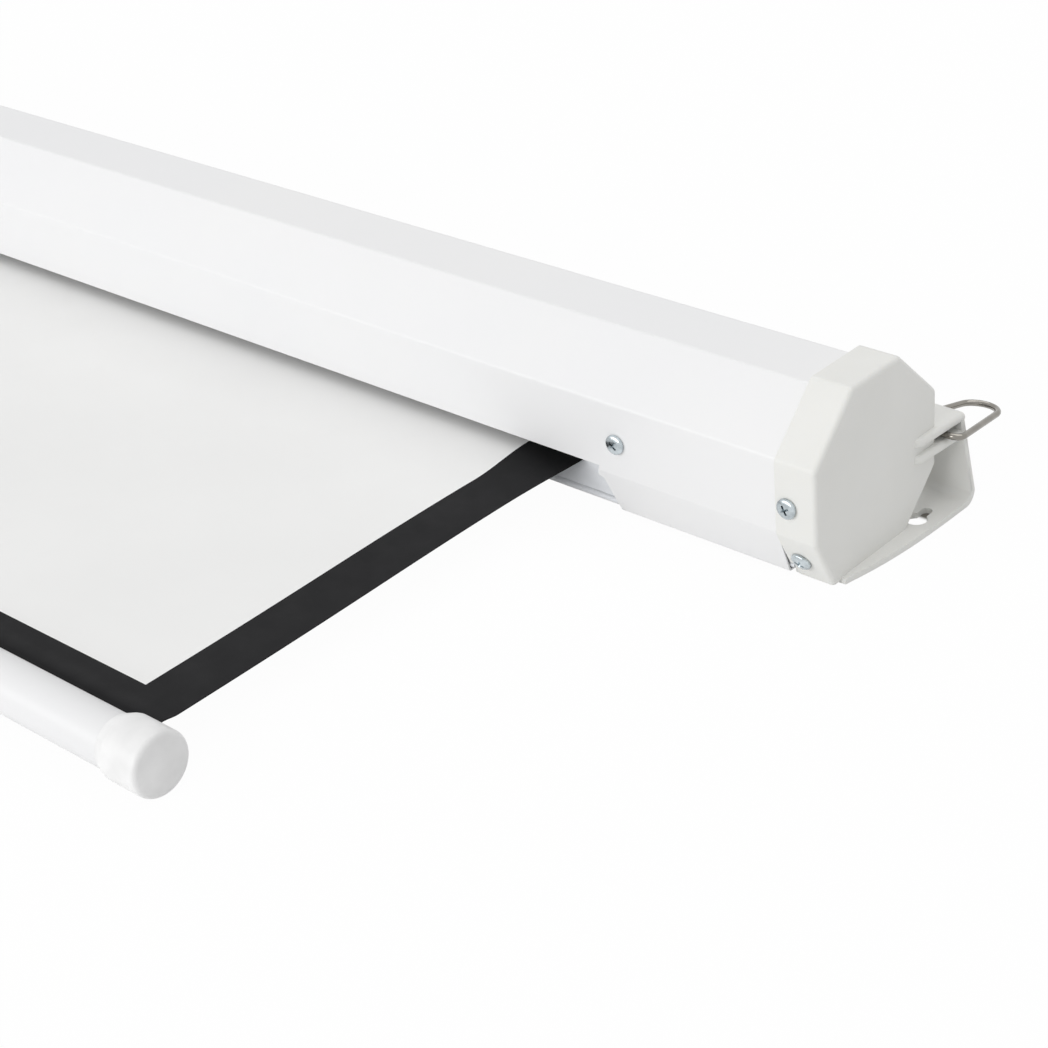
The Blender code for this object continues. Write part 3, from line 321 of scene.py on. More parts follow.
def noise(material, marks_per_metre, detail=3.0, stretch=EVEN_GRAIN):
    """A cloudy pattern of a known grain."""
    tree = material.node_tree
    cloud = tree.nodes.new("ShaderNodeTexNoise")
    cloud.inputs["Scale"].default_value = marks_per_metre
    cloud.inputs["Detail"].default_value = detail
    tree.links.new(object_place(material, stretch), cloud.inputs["Vector"])
    return cloud.outputs["Fac"]


def vary_value(material, pattern, socket, low, high):
    """Let a pattern move one of the shader's values between two ends."""
    moved = mapped(material.node_tree, pattern, (*NOISE_ENDS, low, high))
    material.node_tree.links.new(moved, shader_of(material).inputs[socket])


def vary_colour(material, pattern, first, second):
    """Let a pattern drift the colour between two near tones."""
    drift = toned(material.node_tree, pattern, zip(DRIFT_ENDS, (first, second)))
    material.node_tree.links.new(drift, shader_of(material).inputs["Base Color"])


def raise_grain(material, pattern, depth):
    """Let a pattern raise the surface by a real depth."""
    tree = material.node_tree
    bump = tree.nodes.new("ShaderNodeBump")
    bump.inputs["Distance"].default_value = depth
    tree.links.new(pattern, bump.inputs["Height"])
    tree.links.new(bump.outputs["Normal"], shader_of(material).inputs["Normal"])


print("material helpers are ready")

# %% [markdown]
# ## Paint and plastic
#
# The case wears a satin powder coat: smooth, with a faint orange peel about a millimetre across.
# The caps are moulded in a warmer off-white with a fine matt grain. Both could be one flat
# colour, but then facets and rims would look cut from paper.

# %% White paint
DARK_DRIFT = (-0.008, -0.006, 0.002)
LIGHT_DRIFT = (0.005, 0.005, 0.007)


def satin_paint(name, tone):
    """A satin powder coat of one lightness, with a slight drift towards blue."""
    material = finish(name, (tone, tone, tone), 0.40)
    darker = tuple(tone + drift for drift in DARK_DRIFT)
    lighter = tuple(tone + drift for drift in LIGHT_DRIFT)
    vary_colour(material, noise(material, 9.0), darker, lighter)
    vary_value(material, noise(material, 35.0), "Roughness", 0.36, 0.46)
    raise_grain(material, noise(material, 900.0, 1.0), 0.00001)
    return material


white_paint = satin_paint("white_paint", 0.825)
# The bar wears the case's satin paint in a darker copy; the darker tone is painted shade.
bar_paint_painted_shade = satin_paint("bar_paint_painted_shade", 0.775)
print(white_paint.name, bar_paint_painted_shade.name)

# %% Moulded cap plastic
cap_plastic = finish("cap_plastic", (0.780, 0.780, 0.755), 0.48)
vary_colour(cap_plastic, noise(cap_plastic, 25.0), (0.770, 0.770, 0.744), (0.788, 0.788, 0.764))
vary_value(cap_plastic, noise(cap_plastic, 120.0), "Roughness", 0.42, 0.56)
raise_grain(cap_plastic, noise(cap_plastic, 2600.0, 2.0), 0.00002)
cap_shader = shader_of(cap_plastic)
cap_shader.inputs["Subsurface Weight"].default_value = 0.08
cap_shader.inputs["Subsurface Radius"].default_value = (0.002, 0.0018, 0.0015)
print(cap_plastic.name)

# %% Plain moulded plastics
def moulded(name, colour, roughness=0.5):
    """A matt moulded plastic with a fine grain and slightly uneven gloss."""
    material = finish(name, colour, roughness)
    darker = tuple(value * 0.9 for value in colour)
    vary_colour(material, noise(material, 60.0), darker, colour)
    vary_value(material, noise(material, 150.0), "Roughness", roughness - 0.08, roughness + 0.08)
    raise_grain(material, noise(material, 2200.0, 2.0), 0.00002)
    return material


bar_plastic = moulded("bar_plastic", (0.84, 0.84, 0.84), 0.42)
black_plastic = moulded("black_plastic", (0.03, 0.03, 0.032))
grey_plastic = moulded("grey_plastic", (0.36, 0.37, 0.38))
relay_blue = moulded("relay_blue", (0.04, 0.12, 0.40), 0.42)
terminal_green = moulded("terminal_green", (0.05, 0.35, 0.16), 0.46)
dial_red = moulded("dial_red", (0.60, 0.05, 0.04), 0.42)
dial_white = moulded("dial_white", (0.80, 0.80, 0.79), 0.42)
lead_sheath = moulded("lead_sheath", (0.78, 0.78, 0.77), 0.55)
board_green = moulded("board_green", (0.03, 0.22, 0.10), 0.4)
print("plastics:", bar_plastic.name, black_plastic.name, grey_plastic.name)

# %% [markdown]
# ## Metals
#
# Zinc plate is bluish and a little cloudy, nickel wire is smooth and slightly warm, and rolled
# aluminium and turned steel show lines along the way they were worked. A noise that is stretched
# along the case makes the straight lines, and one that is stretched across it stands in for the
# rings of a turned surface. The rail is light and dull from every side, so it scatters light like
# a paint and isn't given the mirror of a metal.

# %% Metals
LINES_ALONG = (0.02, 1.0, 1.0)
LINES_ROUND = (1.0, 0.1, 0.1)


def worked_metal(name, colour, roughness, lines, depth=0.000004, metallic=1.0, dark=0.88):
    """Metal with lines along the axes whose scale is small."""
    material = finish(name, colour, roughness, metallic)
    grain = noise(material, 500.0, 2.0, lines)
    vary_value(material, grain, "Roughness", roughness - 0.06, roughness + 0.10)
    darker = tuple(value * dark for value in colour)
    vary_colour(material, noise(material, 200.0, 4.0), darker, colour)
    raise_grain(material, grain, depth)
    return material


zinc_steel = worked_metal("zinc_steel", (0.60, 0.66, 0.69), 0.20, EVEN_GRAIN, dark=0.55)
# The nickel's colour is set far darker than bright nickel: a painted dark reflection, standing in for
# dark surroundings that the white studio lacks.
nickel_painted_dark_reflection = worked_metal("nickel_painted_dark_reflection", (0.29, 0.275, 0.25), 0.10, EVEN_GRAIN, 0.000001, dark=0.85)
rail_aluminium = worked_metal("rail_aluminium", (0.84, 0.86, 0.89), 0.40, LINES_ALONG,
                              metallic=0.0, dark=0.95)
tube_aluminium = worked_metal("tube_aluminium", (0.70, 0.71, 0.74), 0.32, LINES_ALONG)
turned_steel = worked_metal("turned_steel", (0.50, 0.50, 0.51), 0.28, LINES_ROUND)
bush_bronze = worked_metal("bush_bronze", (0.55, 0.38, 0.20), 0.42, EVEN_GRAIN, 0.00002)
print("metals:", zinc_steel.name, nickel_painted_dark_reflection.name, rail_aluminium.name)

# %% [markdown]
# ## Screen cloth
#
# The cloth is a coated weave: matt white in the middle, printed black round the edge so that the
# picture gets a clean frame, and plain at the back. Two sets of fine waves across each other
# raise the threads, 0.6 mm apart. The wave node counts twenty radians to the metre, so its scale
# follows from that and from the thread.

# %% Cloth weave
THREAD = 0.0006
WAVE_RADIANS = 20.0


def threads(material, direction):
    """Parallel threads along one axis of the cloth."""
    tree = material.node_tree
    wave = tree.nodes.new("ShaderNodeTexWave")
    wave.bands_direction = direction
    wave.inputs["Scale"].default_value = math.tau / (WAVE_RADIANS * THREAD)
    wave.inputs["Distortion"].default_value = 0.4
    wave.inputs["Detail"].default_value = 1.0
    tree.links.new(object_place(material, EVEN_GRAIN), wave.inputs["Vector"])
    return wave.outputs["Fac"]


def woven(name, first, second, roughness, depth):
    """A coated weave that drifts between two near tones."""
    material = finish(name, first, roughness)
    sets = [threads(material, direction) for direction in ("X", "Y")]
    weave = joined_values(material.node_tree, "MAXIMUM", *sets)
    raise_grain(material, weave, depth)
    vary_colour(material, noise(material, 14.0, 4.0), first, second)
    vary_value(material, noise(material, 80.0), "Roughness", roughness - 0.05, roughness + 0.05)
    return material


cloth_white = woven("cloth_white", (0.835, 0.835, 0.828), (0.852, 0.852, 0.845), 0.88, 0.00003)
cloth_black = woven("cloth_black", (0.012, 0.012, 0.013), (0.015, 0.015, 0.016), 0.75, 0.00003)
shader_of(cloth_black).inputs["Specular IOR Level"].default_value = 0.14
cloth_back = woven("cloth_back", (0.70, 0.70, 0.69), (0.73, 0.73, 0.72), 0.80, 0.00005)
print("cloth:", cloth_white.name, cloth_black.name, cloth_back.name)

# %% [markdown]
# ## Helpers for shapes
#
# Most pieces are an outline pushed along an axis, or a profile turned about one. The outline of
# a folded sheet has a small radius at every fold, which is what catches the light, so the
# outline helpers come first: an arc, a move outwards, and a rounding of the corners.

# %% Outlines
def arc(centre, radius, start, end, count):
    """Points along an arc, with the angles in degrees."""
    points = []
    for step in range(count + 1):
        angle = math.radians(start + (end - start) * step / count)
        points.append((centre[0] + radius * math.cos(angle), centre[1] + radius * math.sin(angle)))
    return points


def offset(outline, distances):
    """Move each side of a convex anticlockwise outline outwards by its own distance."""
    count = len(outline)
    lines = []
    for index in range(count):
        start = Vector(outline[index])
        along = (Vector(outline[(index + 1) % count]) - start).normalized()
        lines.append((start + Vector((along.y, -along.x)) * distances[index], along))
    moved = []
    for index in range(count):
        first, first_along = lines[index - 1]
        second, second_along = lines[index]
        reach = (second - first).cross(second_along) / first_along.cross(second_along)
        moved.append(tuple(first + first_along * reach))
    return moved


def rounded(outline, usual, steps=4, special=None):
    """Replace each corner of a closed outline by an arc; special corners have their own radius."""
    points = []
    count = len(outline)
    for index in range(count):
        radius = (special or {}).get(index, usual)
        corner = Vector(outline[index])
        before = (Vector(outline[index - 1]) - corner).normalized()
        after = (Vector(outline[(index + 1) % count]) - corner).normalized()
        half = before.angle(after) / 2
        middle = corner + (before + after).normalized() * radius / math.sin(half)
        start = corner + before * radius / math.tan(half) - middle
        end = corner + after * radius / math.tan(half) - middle
        turn = start.angle_signed(end)
        for step in range(steps + 1):
            spoke = Matrix.Rotation(-turn * step / steps, 2) @ start
            points.append(tuple(middle + spoke))
    return points


square = rounded([(0.0, 0.0), (1.0, 0.0), (1.0, 1.0), (0.0, 1.0)], 0.1)
print("a rounded square has", len(square), "points")

# %% Flat outlines into solids
MERGE = 1e-6
FLAT_ANGLE = 0.001
PLANES = {
    "YZ": Matrix(((0, 0, 1), (1, 0, 0), (0, 1, 0))).to_4x4(),
    "XY": Matrix.Identity(4),
    "XZ": Matrix(((1, 0, 0), (0, 0, -1), (0, 1, 0))).to_4x4(),
}


def final_mesh(item):
    """The mesh of an object with its modifiers done; the object goes."""
    bpy.context.view_layer.update()
    graph = bpy.context.evaluated_depsgraph_get()
    mesh = bpy.data.meshes.new_from_object(item.evaluated_get(graph))
    mesh.transform(item.matrix_world)
    bpy.data.objects.remove(item, do_unlink=True)
    return mesh


def temporary(data):
    """An object for a mesh or curve that is only a step on the way."""
    return new_object("step", data)


@contextmanager
def edited(mesh):
    """Open a mesh for changes and write them back afterwards."""
    shape = bmesh.new()
    shape.from_mesh(mesh)
    yield shape
    shape.to_mesh(mesh)
    shape.free()


def prism(outlines, plane, low, high):
    """Push flat outlines from one place to another on the axis square to their plane."""
    curve = bpy.data.curves.new("outline", "CURVE")
    curve.dimensions = "2D"
    curve.fill_mode = "BOTH"
    curve.extrude = (high - low) / 2
    for outline in outlines:
        spline = curve.splines.new("POLY")
        spline.points.add(len(outline) - 1)
        for point, (across, rise) in zip(spline.points, outline):
            point.co = (across, rise, 0.0, 1.0)
        spline.use_cyclic_u = True
    mesh = final_mesh(temporary(curve))
    with edited(mesh) as shape:
        bmesh.ops.remove_doubles(shape, verts=shape.verts, dist=MERGE)
        bmesh.ops.dissolve_limit(shape, angle_limit=FLAT_ANGLE, verts=shape.verts, edges=shape.edges)
        bmesh.ops.recalc_face_normals(shape, faces=shape.faces)
    # An outline in X and Z is pushed along -Y
    middle = (low + high) / 2 * (-1 if plane == "XZ" else 1)
    mesh.transform(PLANES[plane] @ Matrix.Translation((0.0, 0.0, middle)))
    return mesh


print("outlines can lie in", list(PLANES))


# %% Turned profiles and wires
def aim(direction):
    """Turn +Z to a direction."""
    return Vector((0.0, 0.0, 1.0)).rotation_difference(Vector(direction)).to_matrix().to_4x4()


def turned(profile, closed, start, direction, sides):
    """Turn a profile of (radius, height) points about an axis."""
    mesh = bpy.data.meshes.new("profile")
    points = [(radius, 0.0, height) for radius, height in profile]
    edges = [(index, index + 1) for index in range(len(points) - 1)]
    if closed:
        edges.append((len(points) - 1, 0))
    mesh.from_pydata(points, edges, [])
    item = temporary(mesh)
    screw = item.modifiers.new("turn", "SCREW")
    screw.steps = sides
    screw.render_steps = sides
    screw.use_merge_vertices = True
    screw.merge_threshold = MERGE
    result = final_mesh(item)
    result.transform(Matrix.Translation(Vector(start)) @ aim(direction))
    return result


def wire_mesh(points, radius):
    """A closed loop of round wire along points in space."""
    curve = bpy.data.curves.new("wire", "CURVE")
    curve.dimensions = "3D"
    curve.bevel_depth = radius
    curve.bevel_resolution = 4
    spline = curve.splines.new("POLY")
    spline.points.add(len(points) - 1)
    for point, place in zip(spline.points, points):
        point.co = (*place, 1.0)
    spline.use_cyclic_u = True
    return final_mesh(temporary(curve))


print("turning and wire helpers are ready")

# %% Cutting, softening and mirroring
SOFT_ANGLE = math.radians(30.0)
SOFT_STEPS = 3
SLIVER = 0.00001


def combined(mesh, steps):
    """Cut, join or intersect a mesh with others, one after another."""
    item = temporary(mesh)
    helpers = []
    for operation, other in steps:
        helper = temporary(other)
        helpers.append(helper)
        step = item.modifiers.new("step", "BOOLEAN")
        step.operation = operation
        step.solver = "EXACT"
        step.object = helper
    result = final_mesh(item)
    for helper in helpers:
        bpy.data.objects.remove(helper, do_unlink=True)
    return result


def cut(mesh, *others):
    """The mesh with others cut out of it."""
    return combined(mesh, [("DIFFERENCE", other) for other in others])


def softened(mesh, width):
    """Round every sharp edge by a small width."""
    item = temporary(mesh)
    step = item.modifiers.new("soften", "BEVEL")
    step.width = width
    step.segments = SOFT_STEPS
    step.limit_method = "ANGLE"
    step.angle_limit = SOFT_ANGLE
    step.harden_normals = False
    return final_mesh(item)


def cleaned(mesh):
    """The mesh without the slivers and pinholes that cutting and rounding leave."""
    with edited(mesh) as shape:
        bmesh.ops.dissolve_degenerate(shape, edges=shape.edges, dist=SLIVER)
        bmesh.ops.holes_fill(shape, edges=[edge for edge in shape.edges if edge.is_boundary], sides=4)
    return mesh


def mirrored(mesh):
    """The mesh as it is at the other end of the screen."""
    result = mesh.copy()
    with edited(result) as shape:
        bmesh.ops.scale(shape, vec=(-1.0, 1.0, 1.0), verts=shape.verts)
        bmesh.ops.reverse_faces(shape, faces=shape.faces)
    return result


print("edges that turn more than", round(math.degrees(SOFT_ANGLE)), "degrees are softened")

# %% Putting a piece in place
SHARP_ANGLE = math.radians(35.0)


def add_piece(name, mesh, body, material, replaces):
    """A smooth-shaded piece that rides on a body and stands for its nodes in the model."""
    piece = new_object(name, mesh)
    mesh.materials.clear()
    mesh.materials.append(material)
    mesh.shade_smooth()
    mesh.set_sharp_from_angle(angle=SHARP_ANGLE)
    weigh = piece.modifiers.new("flat faces lead", "WEIGHTED_NORMAL")
    weigh.keep_sharp = True
    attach(piece, body)
    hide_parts(*replaces)
    print(name, "faces:", len(mesh.polygons))
    return piece


def side_name(side):
    """The idler is at the right end and the motor at the left."""
    return "right" if side > 0 else "left"


print("ends:", side_name(-1), side_name(1))

# %% [markdown]
# ## The outline of the case
#
# Case and caps share one eight-sided outline: three flats in front, three at the back, and a top
# and an underside. A cap is the same outline moved outwards by its wall, with a deeper lower
# front flat, so both come from the same few numbers.

# %% Case and cap outlines
UPPER_CUT = 0.0230
TOP_BACK_CUT = 0.0259
BACK_CUT = 0.0215
FACET_DEPTH = 0.0073
FACET_HEIGHT = 0.0214
CAP_DEPTH = 0.0196
CAP_FACET_DEPTH = 0.0113
CAP_FACET_HEIGHT = 0.0226
CAP_WALL = 0.0017
CAP_TOP_WALL = 0.0028
EPS = 0.001
cap_mouth = face_x - CAP_DEPTH


def octagon(facet_depth, facet_height, top_back_cut=UPPER_CUT):
    """Eight corners, anticlockwise in Y and Z from the foot of the front flat."""
    return [
        (case_low.y, case_low.z + facet_height),
        (case_low.y + facet_depth, case_low.z),
        (case_high.y - BACK_CUT, case_low.z),
        (case_high.y, case_low.z + BACK_CUT),
        (case_high.y, case_high.z - UPPER_CUT),
        (case_high.y - top_back_cut, case_high.z),
        (case_low.y + UPPER_CUT, case_high.z),
        (case_low.y, case_high.z - UPPER_CUT),
    ]


def cap_outline(wall, top_wall, under):
    """The cap's eight corners, moved outwards from the case by its walls and its underside."""
    sides = [wall, under, wall, wall, wall, top_wall, wall, wall]
    return offset(octagon(CAP_FACET_DEPTH, CAP_FACET_HEIGHT), sides)


cup_corners = cap_outline(CAP_WALL + GAP, CAP_TOP_WALL + GAP, case_low.z)
print("cap mouth at", round(cap_mouth, 4))

# %% [markdown]
# ## Screws
#
# The caps and the brackets inside the case are held by zinc-plated pan heads with a cross
# recess. A head is a turned dome, and the recess is cut by two crossed wedges that narrow
# towards the floor, as the real tool leaves it. Each screw stops at its own angle.

# %% Screw head
HEAD_R = 0.0044
HEAD_H = 0.0024
HEAD_DOME = 0.0014
SHANK_R = 0.0018
SHANK_L = 0.0075
ARM_REACH = 0.0025
ARM_HALF = 0.00055
ARM_TAPER = 0.55
RECESS_DEPTH = 0.0017
HEAD_STEPS = 7
SCREW_SIDES = 40
HOLE_SIDES = 24


def cross_wedge(turn):
    """One arm pair of the cross recess, narrower at its floor."""
    mesh = bpy.data.meshes.new("wedge")
    with edited(mesh) as shape:
        bmesh.ops.create_cube(shape, size=2.0)
        for vert in shape.verts:
            deep = vert.co.z < 0.0
            share = ARM_TAPER if deep else 1.0
            vert.co = Vector((vert.co.x * ARM_REACH * share, vert.co.y * ARM_HALF * share,
                              HEAD_H - RECESS_DEPTH if deep else HEAD_H + EPS / 2))
        bmesh.ops.rotate(shape, matrix=Matrix.Rotation(turn, 3, "Z"), verts=shape.verts)
    return mesh


def screw_mesh(turn):
    """A pan-head screw with its head towards +Z and its recess at an angle."""
    profile = []
    for step in range(HEAD_STEPS + 1):
        angle = math.pi / 2 * step / HEAD_STEPS
        rise = HEAD_H - HEAD_DOME * (1.0 - math.cos(angle))
        profile.append((HEAD_R * math.sin(angle), rise))
    profile += [(HEAD_R, GAP), (SHANK_R, GAP), (SHANK_R, -SHANK_L + SHANK_R), (0.0, -SHANK_L)]
    body = turned(profile, False, (0.0, 0.0, 0.0), (0.0, 0.0, 1.0), SCREW_SIDES)
    return cut(body, cross_wedge(turn), cross_wedge(turn + math.pi / 2))


def screw_hole(seat, outwards):
    """The hole that a screw's shank passes through."""
    radius = SHANK_R + GAP
    depth = -SHANK_L - GAP
    profile = [(0.0, EPS), (radius, EPS), (radius, depth), (0.0, depth)]
    return turned(profile, False, seat, outwards, HOLE_SIDES)


print("head", HEAD_R * 2000, "mm across")

# %% Screws in place
CAP_SCREW_X = 0.0135
CAP_SCREW_Z = 0.0375
FACET_SCREW_X = 0.0118
FACET_SCREW_SHARE = 0.53
CASE_SCREW_X = 0.1013
CASE_SCREW_Z = 0.0383


def screw_seats(side):
    """The seat, the outward direction and the recess angle of each screw of one end."""
    top = Vector(cup_corners[0])
    foot = Vector(cup_corners[1])
    seat = top.lerp(foot, FACET_SCREW_SHARE)
    along = (foot - top).normalized()
    front_x = side * (face_x - CAP_SCREW_X)
    facet_x = side * (face_x - FACET_SCREW_X)
    case_x = side * (face_x - CASE_SCREW_X)
    return {
        "cap_screw_front": ((front_x, top.x, CAP_SCREW_Z), (0.0, -1.0, 0.0), 0.5),
        "cap_screw_facet": ((facet_x, *seat), (0.0, along.y, -along.x), 1.2),
        "case_screw_front": ((case_x, case_low.y, CASE_SCREW_Z), (0.0, -1.0, 0.0), 0.9),
        "case_screw_back": ((case_x, case_high.y, CASE_SCREW_Z), (0.0, 1.0, 0.0), 0.2),
    }


for side in (-1, 1):
    for kind, (seat, outwards, turn) in screw_seats(side).items():
        node = f"{kind}_{side_name(side)}"
        mesh = screw_mesh(turn)
        mesh.transform(Matrix.Translation(seat) @ aim(outwards))
        add_piece(f"cross_{node}", mesh, "case", zinc_steel, [node])

# %% [markdown]
# ## The case
#
# One sheet, 0.8 mm thick, is folded into eight flats. The lower front flat is steep and holds the
# slot. The outline is rounded at each fold, pushed along the case and then cut: the slot's ends
# lean outwards, the corner inside each cap is open, and each screw has its hole.

# %% Folded case
FOLD = 0.0024
FOOT = 1
FOOT_FOLD = 0.0010
SLOT_TOP = 0.0236
SLOT_KNEE = 0.0183
SLOT_END_TOP = 0.1110
SLOT_END_LOW = 0.1062
SLOT_RELIEF = 0.0018
SLOT_BACK = 0.0028
SLOT_HOOK = 0.0008
SLOT_HOOK_DROP = 0.0013
CORNER_GAP = 0.0004


def slot_cutter():
    """The slot in the lower front flat, wider at its foot and cut back under the rail's bead."""
    top = case_low.z + SLOT_TOP
    knee = case_low.z + SLOT_KNEE
    foot = case_low.z - EPS
    top_x = face_x - SLOT_END_TOP
    foot_x = face_x - SLOT_END_LOW
    end = [(foot_x, foot), (top_x + SLOT_HOOK, knee - SLOT_HOOK_DROP), (top_x - SLOT_RELIEF, knee),
           (top_x, top)]
    outline = end + [(-x, z) for x, z in reversed(end)]
    return prism([outline], "XZ", case_low.y - EPS, case_low.y + FACET_DEPTH + SLOT_BACK)


def corner_cutter(side):
    """The open corner of the case inside a cap."""
    core = octagon(CAP_FACET_DEPTH, CAP_FACET_HEIGHT)
    out = core[0][0] - EPS
    outline = [core[0], (out, core[0][1]), (out, -EPS), (core[1][0], -EPS), core[1]]
    ends = sorted((side * (cap_mouth - CORNER_GAP), side * (case_high.x + EPS)))
    return prism([outline], "YZ", *ends)


corners = octagon(FACET_DEPTH, FACET_HEIGHT, TOP_BACK_CUT)
outer = rounded(corners, FOLD, special={FOOT: FOOT_FOLD})
inner = rounded(offset(corners, [-SHEET] * 8), FOLD - SHEET, special={FOOT: FOOT_FOLD - SHEET})
shell = prism([outer, inner], "YZ", -case_high.x, case_high.x)
cuts = [("DIFFERENCE", slot_cutter())]
for side in (-1, 1):
    cuts.append(("DIFFERENCE", corner_cutter(side)))
    for seat, outwards, turn in screw_seats(side).values():
        cuts.append(("DIFFERENCE", screw_hole(seat, outwards)))
add_piece("folded_case", combined(shell, cuts), "case", white_paint, ["case_shell"])

# %% [markdown]
# ## The slot's rail
#
# A strip of bright aluminium lines the slot's lower lip, so that the cloth runs over a rolled
# edge and not over a cut one. A steep leaf rises behind the slot up to the cloth, between the
# brackets, and keeps the light off the roll. The bead shows at the end of the case as a small
# shiny dot.

# %% Slot rail
RAIL_THICK = 0.0008
RAIL_WIDTH = 0.0240
RAIL_BEAD = 0.0013
BEAD_RISE = 0.0019
RAIL_PAST = 0.0018
BEAD_OUTSIDE = (70.0, 255.0)
BEAD_INSIDE = (-25.0, 45.0)

rail_low, rail_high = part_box("slot_rail")
rail_back = rail_low.y + RAIL_BEAD + RAIL_WIDTH
rail_top = rail_low.z + RAIL_THICK
bead = (rail_low.y + RAIL_BEAD, rail_low.z + BEAD_RISE)
outline = arc(bead, RAIL_BEAD, *BEAD_OUTSIDE, 18)
outline += [(bead[0] + RAIL_BEAD / 2, rail_low.z), (rail_back, rail_low.z), (rail_back, rail_top),
            (bead[0] + RAIL_BEAD, rail_top)]
outline += arc(bead, RAIL_BEAD, *BEAD_INSIDE, 6)
rail = prism([outline], "YZ", rail_low.x - RAIL_PAST, rail_high.x + RAIL_PAST)
print("rail", round(rail_high.x - rail_low.x + 2 * RAIL_PAST, 4), "m long")

# %% Slot rail's leaf
LEAF_LEAN = math.radians(60.0)
LEAF_TOP = 0.0153
# The leaf's front face stands this far in front of the bead's middle
LEAF_FRONT = 0.0006

rise = Vector((math.cos(LEAF_LEAN), math.sin(LEAF_LEAN)))
across = Vector((rise.y, -rise.x)) * RAIL_THICK / 2
foot = Vector(bead) - across * (2 * LEAF_FRONT / RAIL_THICK - 1)
climb = rise * ((LEAF_TOP - foot.y) / rise.y)
leaf_corners = [foot - across, foot + across, foot + across + climb, foot - across + climb]
leaf_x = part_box("idler_bracket")[0].x - GAP
leaf = prism([[tuple(corner) for corner in leaf_corners]], "YZ", -leaf_x, leaf_x)
rail = combined(rail, [("UNION", leaf)])
add_piece("rolled_rail", rail, "case", rail_aluminium, ["slot_rail"])

# %% [markdown]
# ## End caps
#
# A cap is one moulding: an eight-sided cup over the end of the case, a plate for the wall, a
# plate that turns up behind it, and two ribs that trap the bail. The cup is an outline with
# round corners and a rounded rim, and the rest is joined to it. A small bevel over all the hard
# edges afterwards gives the soft look of a moulding, which sharp joins never have. The screw
# holes come after the bevel, or it would tear at them. Such work leaves slivers, which are taken
# away at the end. The two caps are a pair, so one is made and the other is its mirror image.

# %% Cap sizes
CAP_ROUND = 0.0022
MOUTH_ROUND = 0.0006
CAP_CORNER = 0.0032
CAP_FOOT_CORNER = 0.0024
PLATE = 0.0026
PLATE_BACK = 0.0575
PLATE_TOP = 0.0400
PLATE_TIP = -0.0255
PLATE_INSET = 0.0042
PLATE_OUT = 0.0084
PLATE_TIP_OUT = 0.0018
PLATE_TOP_OUT = 0.0028
PLATE_FOLD = 0.0060
RIB_THICK = 0.0040
RIB_HEIGHTS = (0.0311, 0.0387)
RIB_INSET = 0.0042
RIB_ROUND = 0.0018
RIB_TIP = 0.0255
RIB_TIP_OUT = 0.0026
RIB_ROOT_OUT = 0.0040
RIB_NOSE_START = -60.0
KEY_X = 0.0010
KEY_Y = 0.0285
KEY_WIDE = 0.0048
KEY_NARROW = 0.0024
KEY_TRAVEL = 0.0078
GLAND_THREAD = 0.0080
NOTCH_DEPTH = 0.0024

print("cap walls", CAP_WALL, CAP_TOP_WALL)

# %% Cup
CUP_STEPS = 5
MOUTH_STEPS = 3
NEAR = EPS / 10


def round_over(shape, edges, radius, steps):
    """Round some edges of a solid."""
    bmesh.ops.bevel(shape, geom=edges, offset=radius, segments=steps, profile=0.5, affect="EDGES")


def edges_at(shape, x):
    """The edges that lie at one place along the case."""
    return [edge for edge in shape.edges if all(abs(vert.co.x - x) < NEAR for vert in edge.verts)]


def cap_cup():
    """The cup's outer form, with its rim and its mouth rounded over."""
    outline = rounded(cup_corners, CAP_CORNER, CUP_STEPS, {FOOT: CAP_FOOT_CORNER})
    mesh = prism([outline], "YZ", cap_mouth, face_x)
    with edited(mesh) as shape:
        round_over(shape, edges_at(shape, face_x), CAP_ROUND, CUP_STEPS)
        round_over(shape, edges_at(shape, cap_mouth), MOUTH_ROUND, MOUTH_STEPS)
    return mesh


def cap_cavity():
    """The space inside the cup that takes the case's end."""
    outline = rounded(cap_outline(GAP, GAP, GAP), FOLD)
    return prism([outline], "YZ", cap_mouth - EPS, face_x - END_WALL)


print("cup", CAP_DEPTH, "m deep")


# %% Plate section
def plate_section():
    """The L-shaped section of the wall plate and the plate that turns up, in Y and Z."""
    back = case_middle_y + PLATE_BACK
    tip = case_middle_y + PLATE_TIP
    corner = (back - PLATE_FOLD, PLATE_FOLD)
    outline = [(tip, 0.0)]
    outline += arc(corner, PLATE_FOLD, -90.0, 0.0, 8)
    outline += [(back, PLATE_TOP), (back - PLATE, PLATE_TOP)]
    outline += arc(corner, PLATE_FOLD - PLATE, 0.0, -90.0, 8)
    outline.append((tip, PLATE))
    return outline


def plate_reach(share):
    """How far the wall plate stands past the end face, from its tip to its back."""
    return PLATE_TIP_OUT + (PLATE_OUT - PLATE_TIP_OUT) * (1.0 - (1.0 - share) ** 3)


print("plate section has", len(plate_section()), "points")

# %% Cap plates
PLATE_STEPS = 20
PLATE_CORNER = 0.0030
PLATE_EDGE_TURN = 8.0


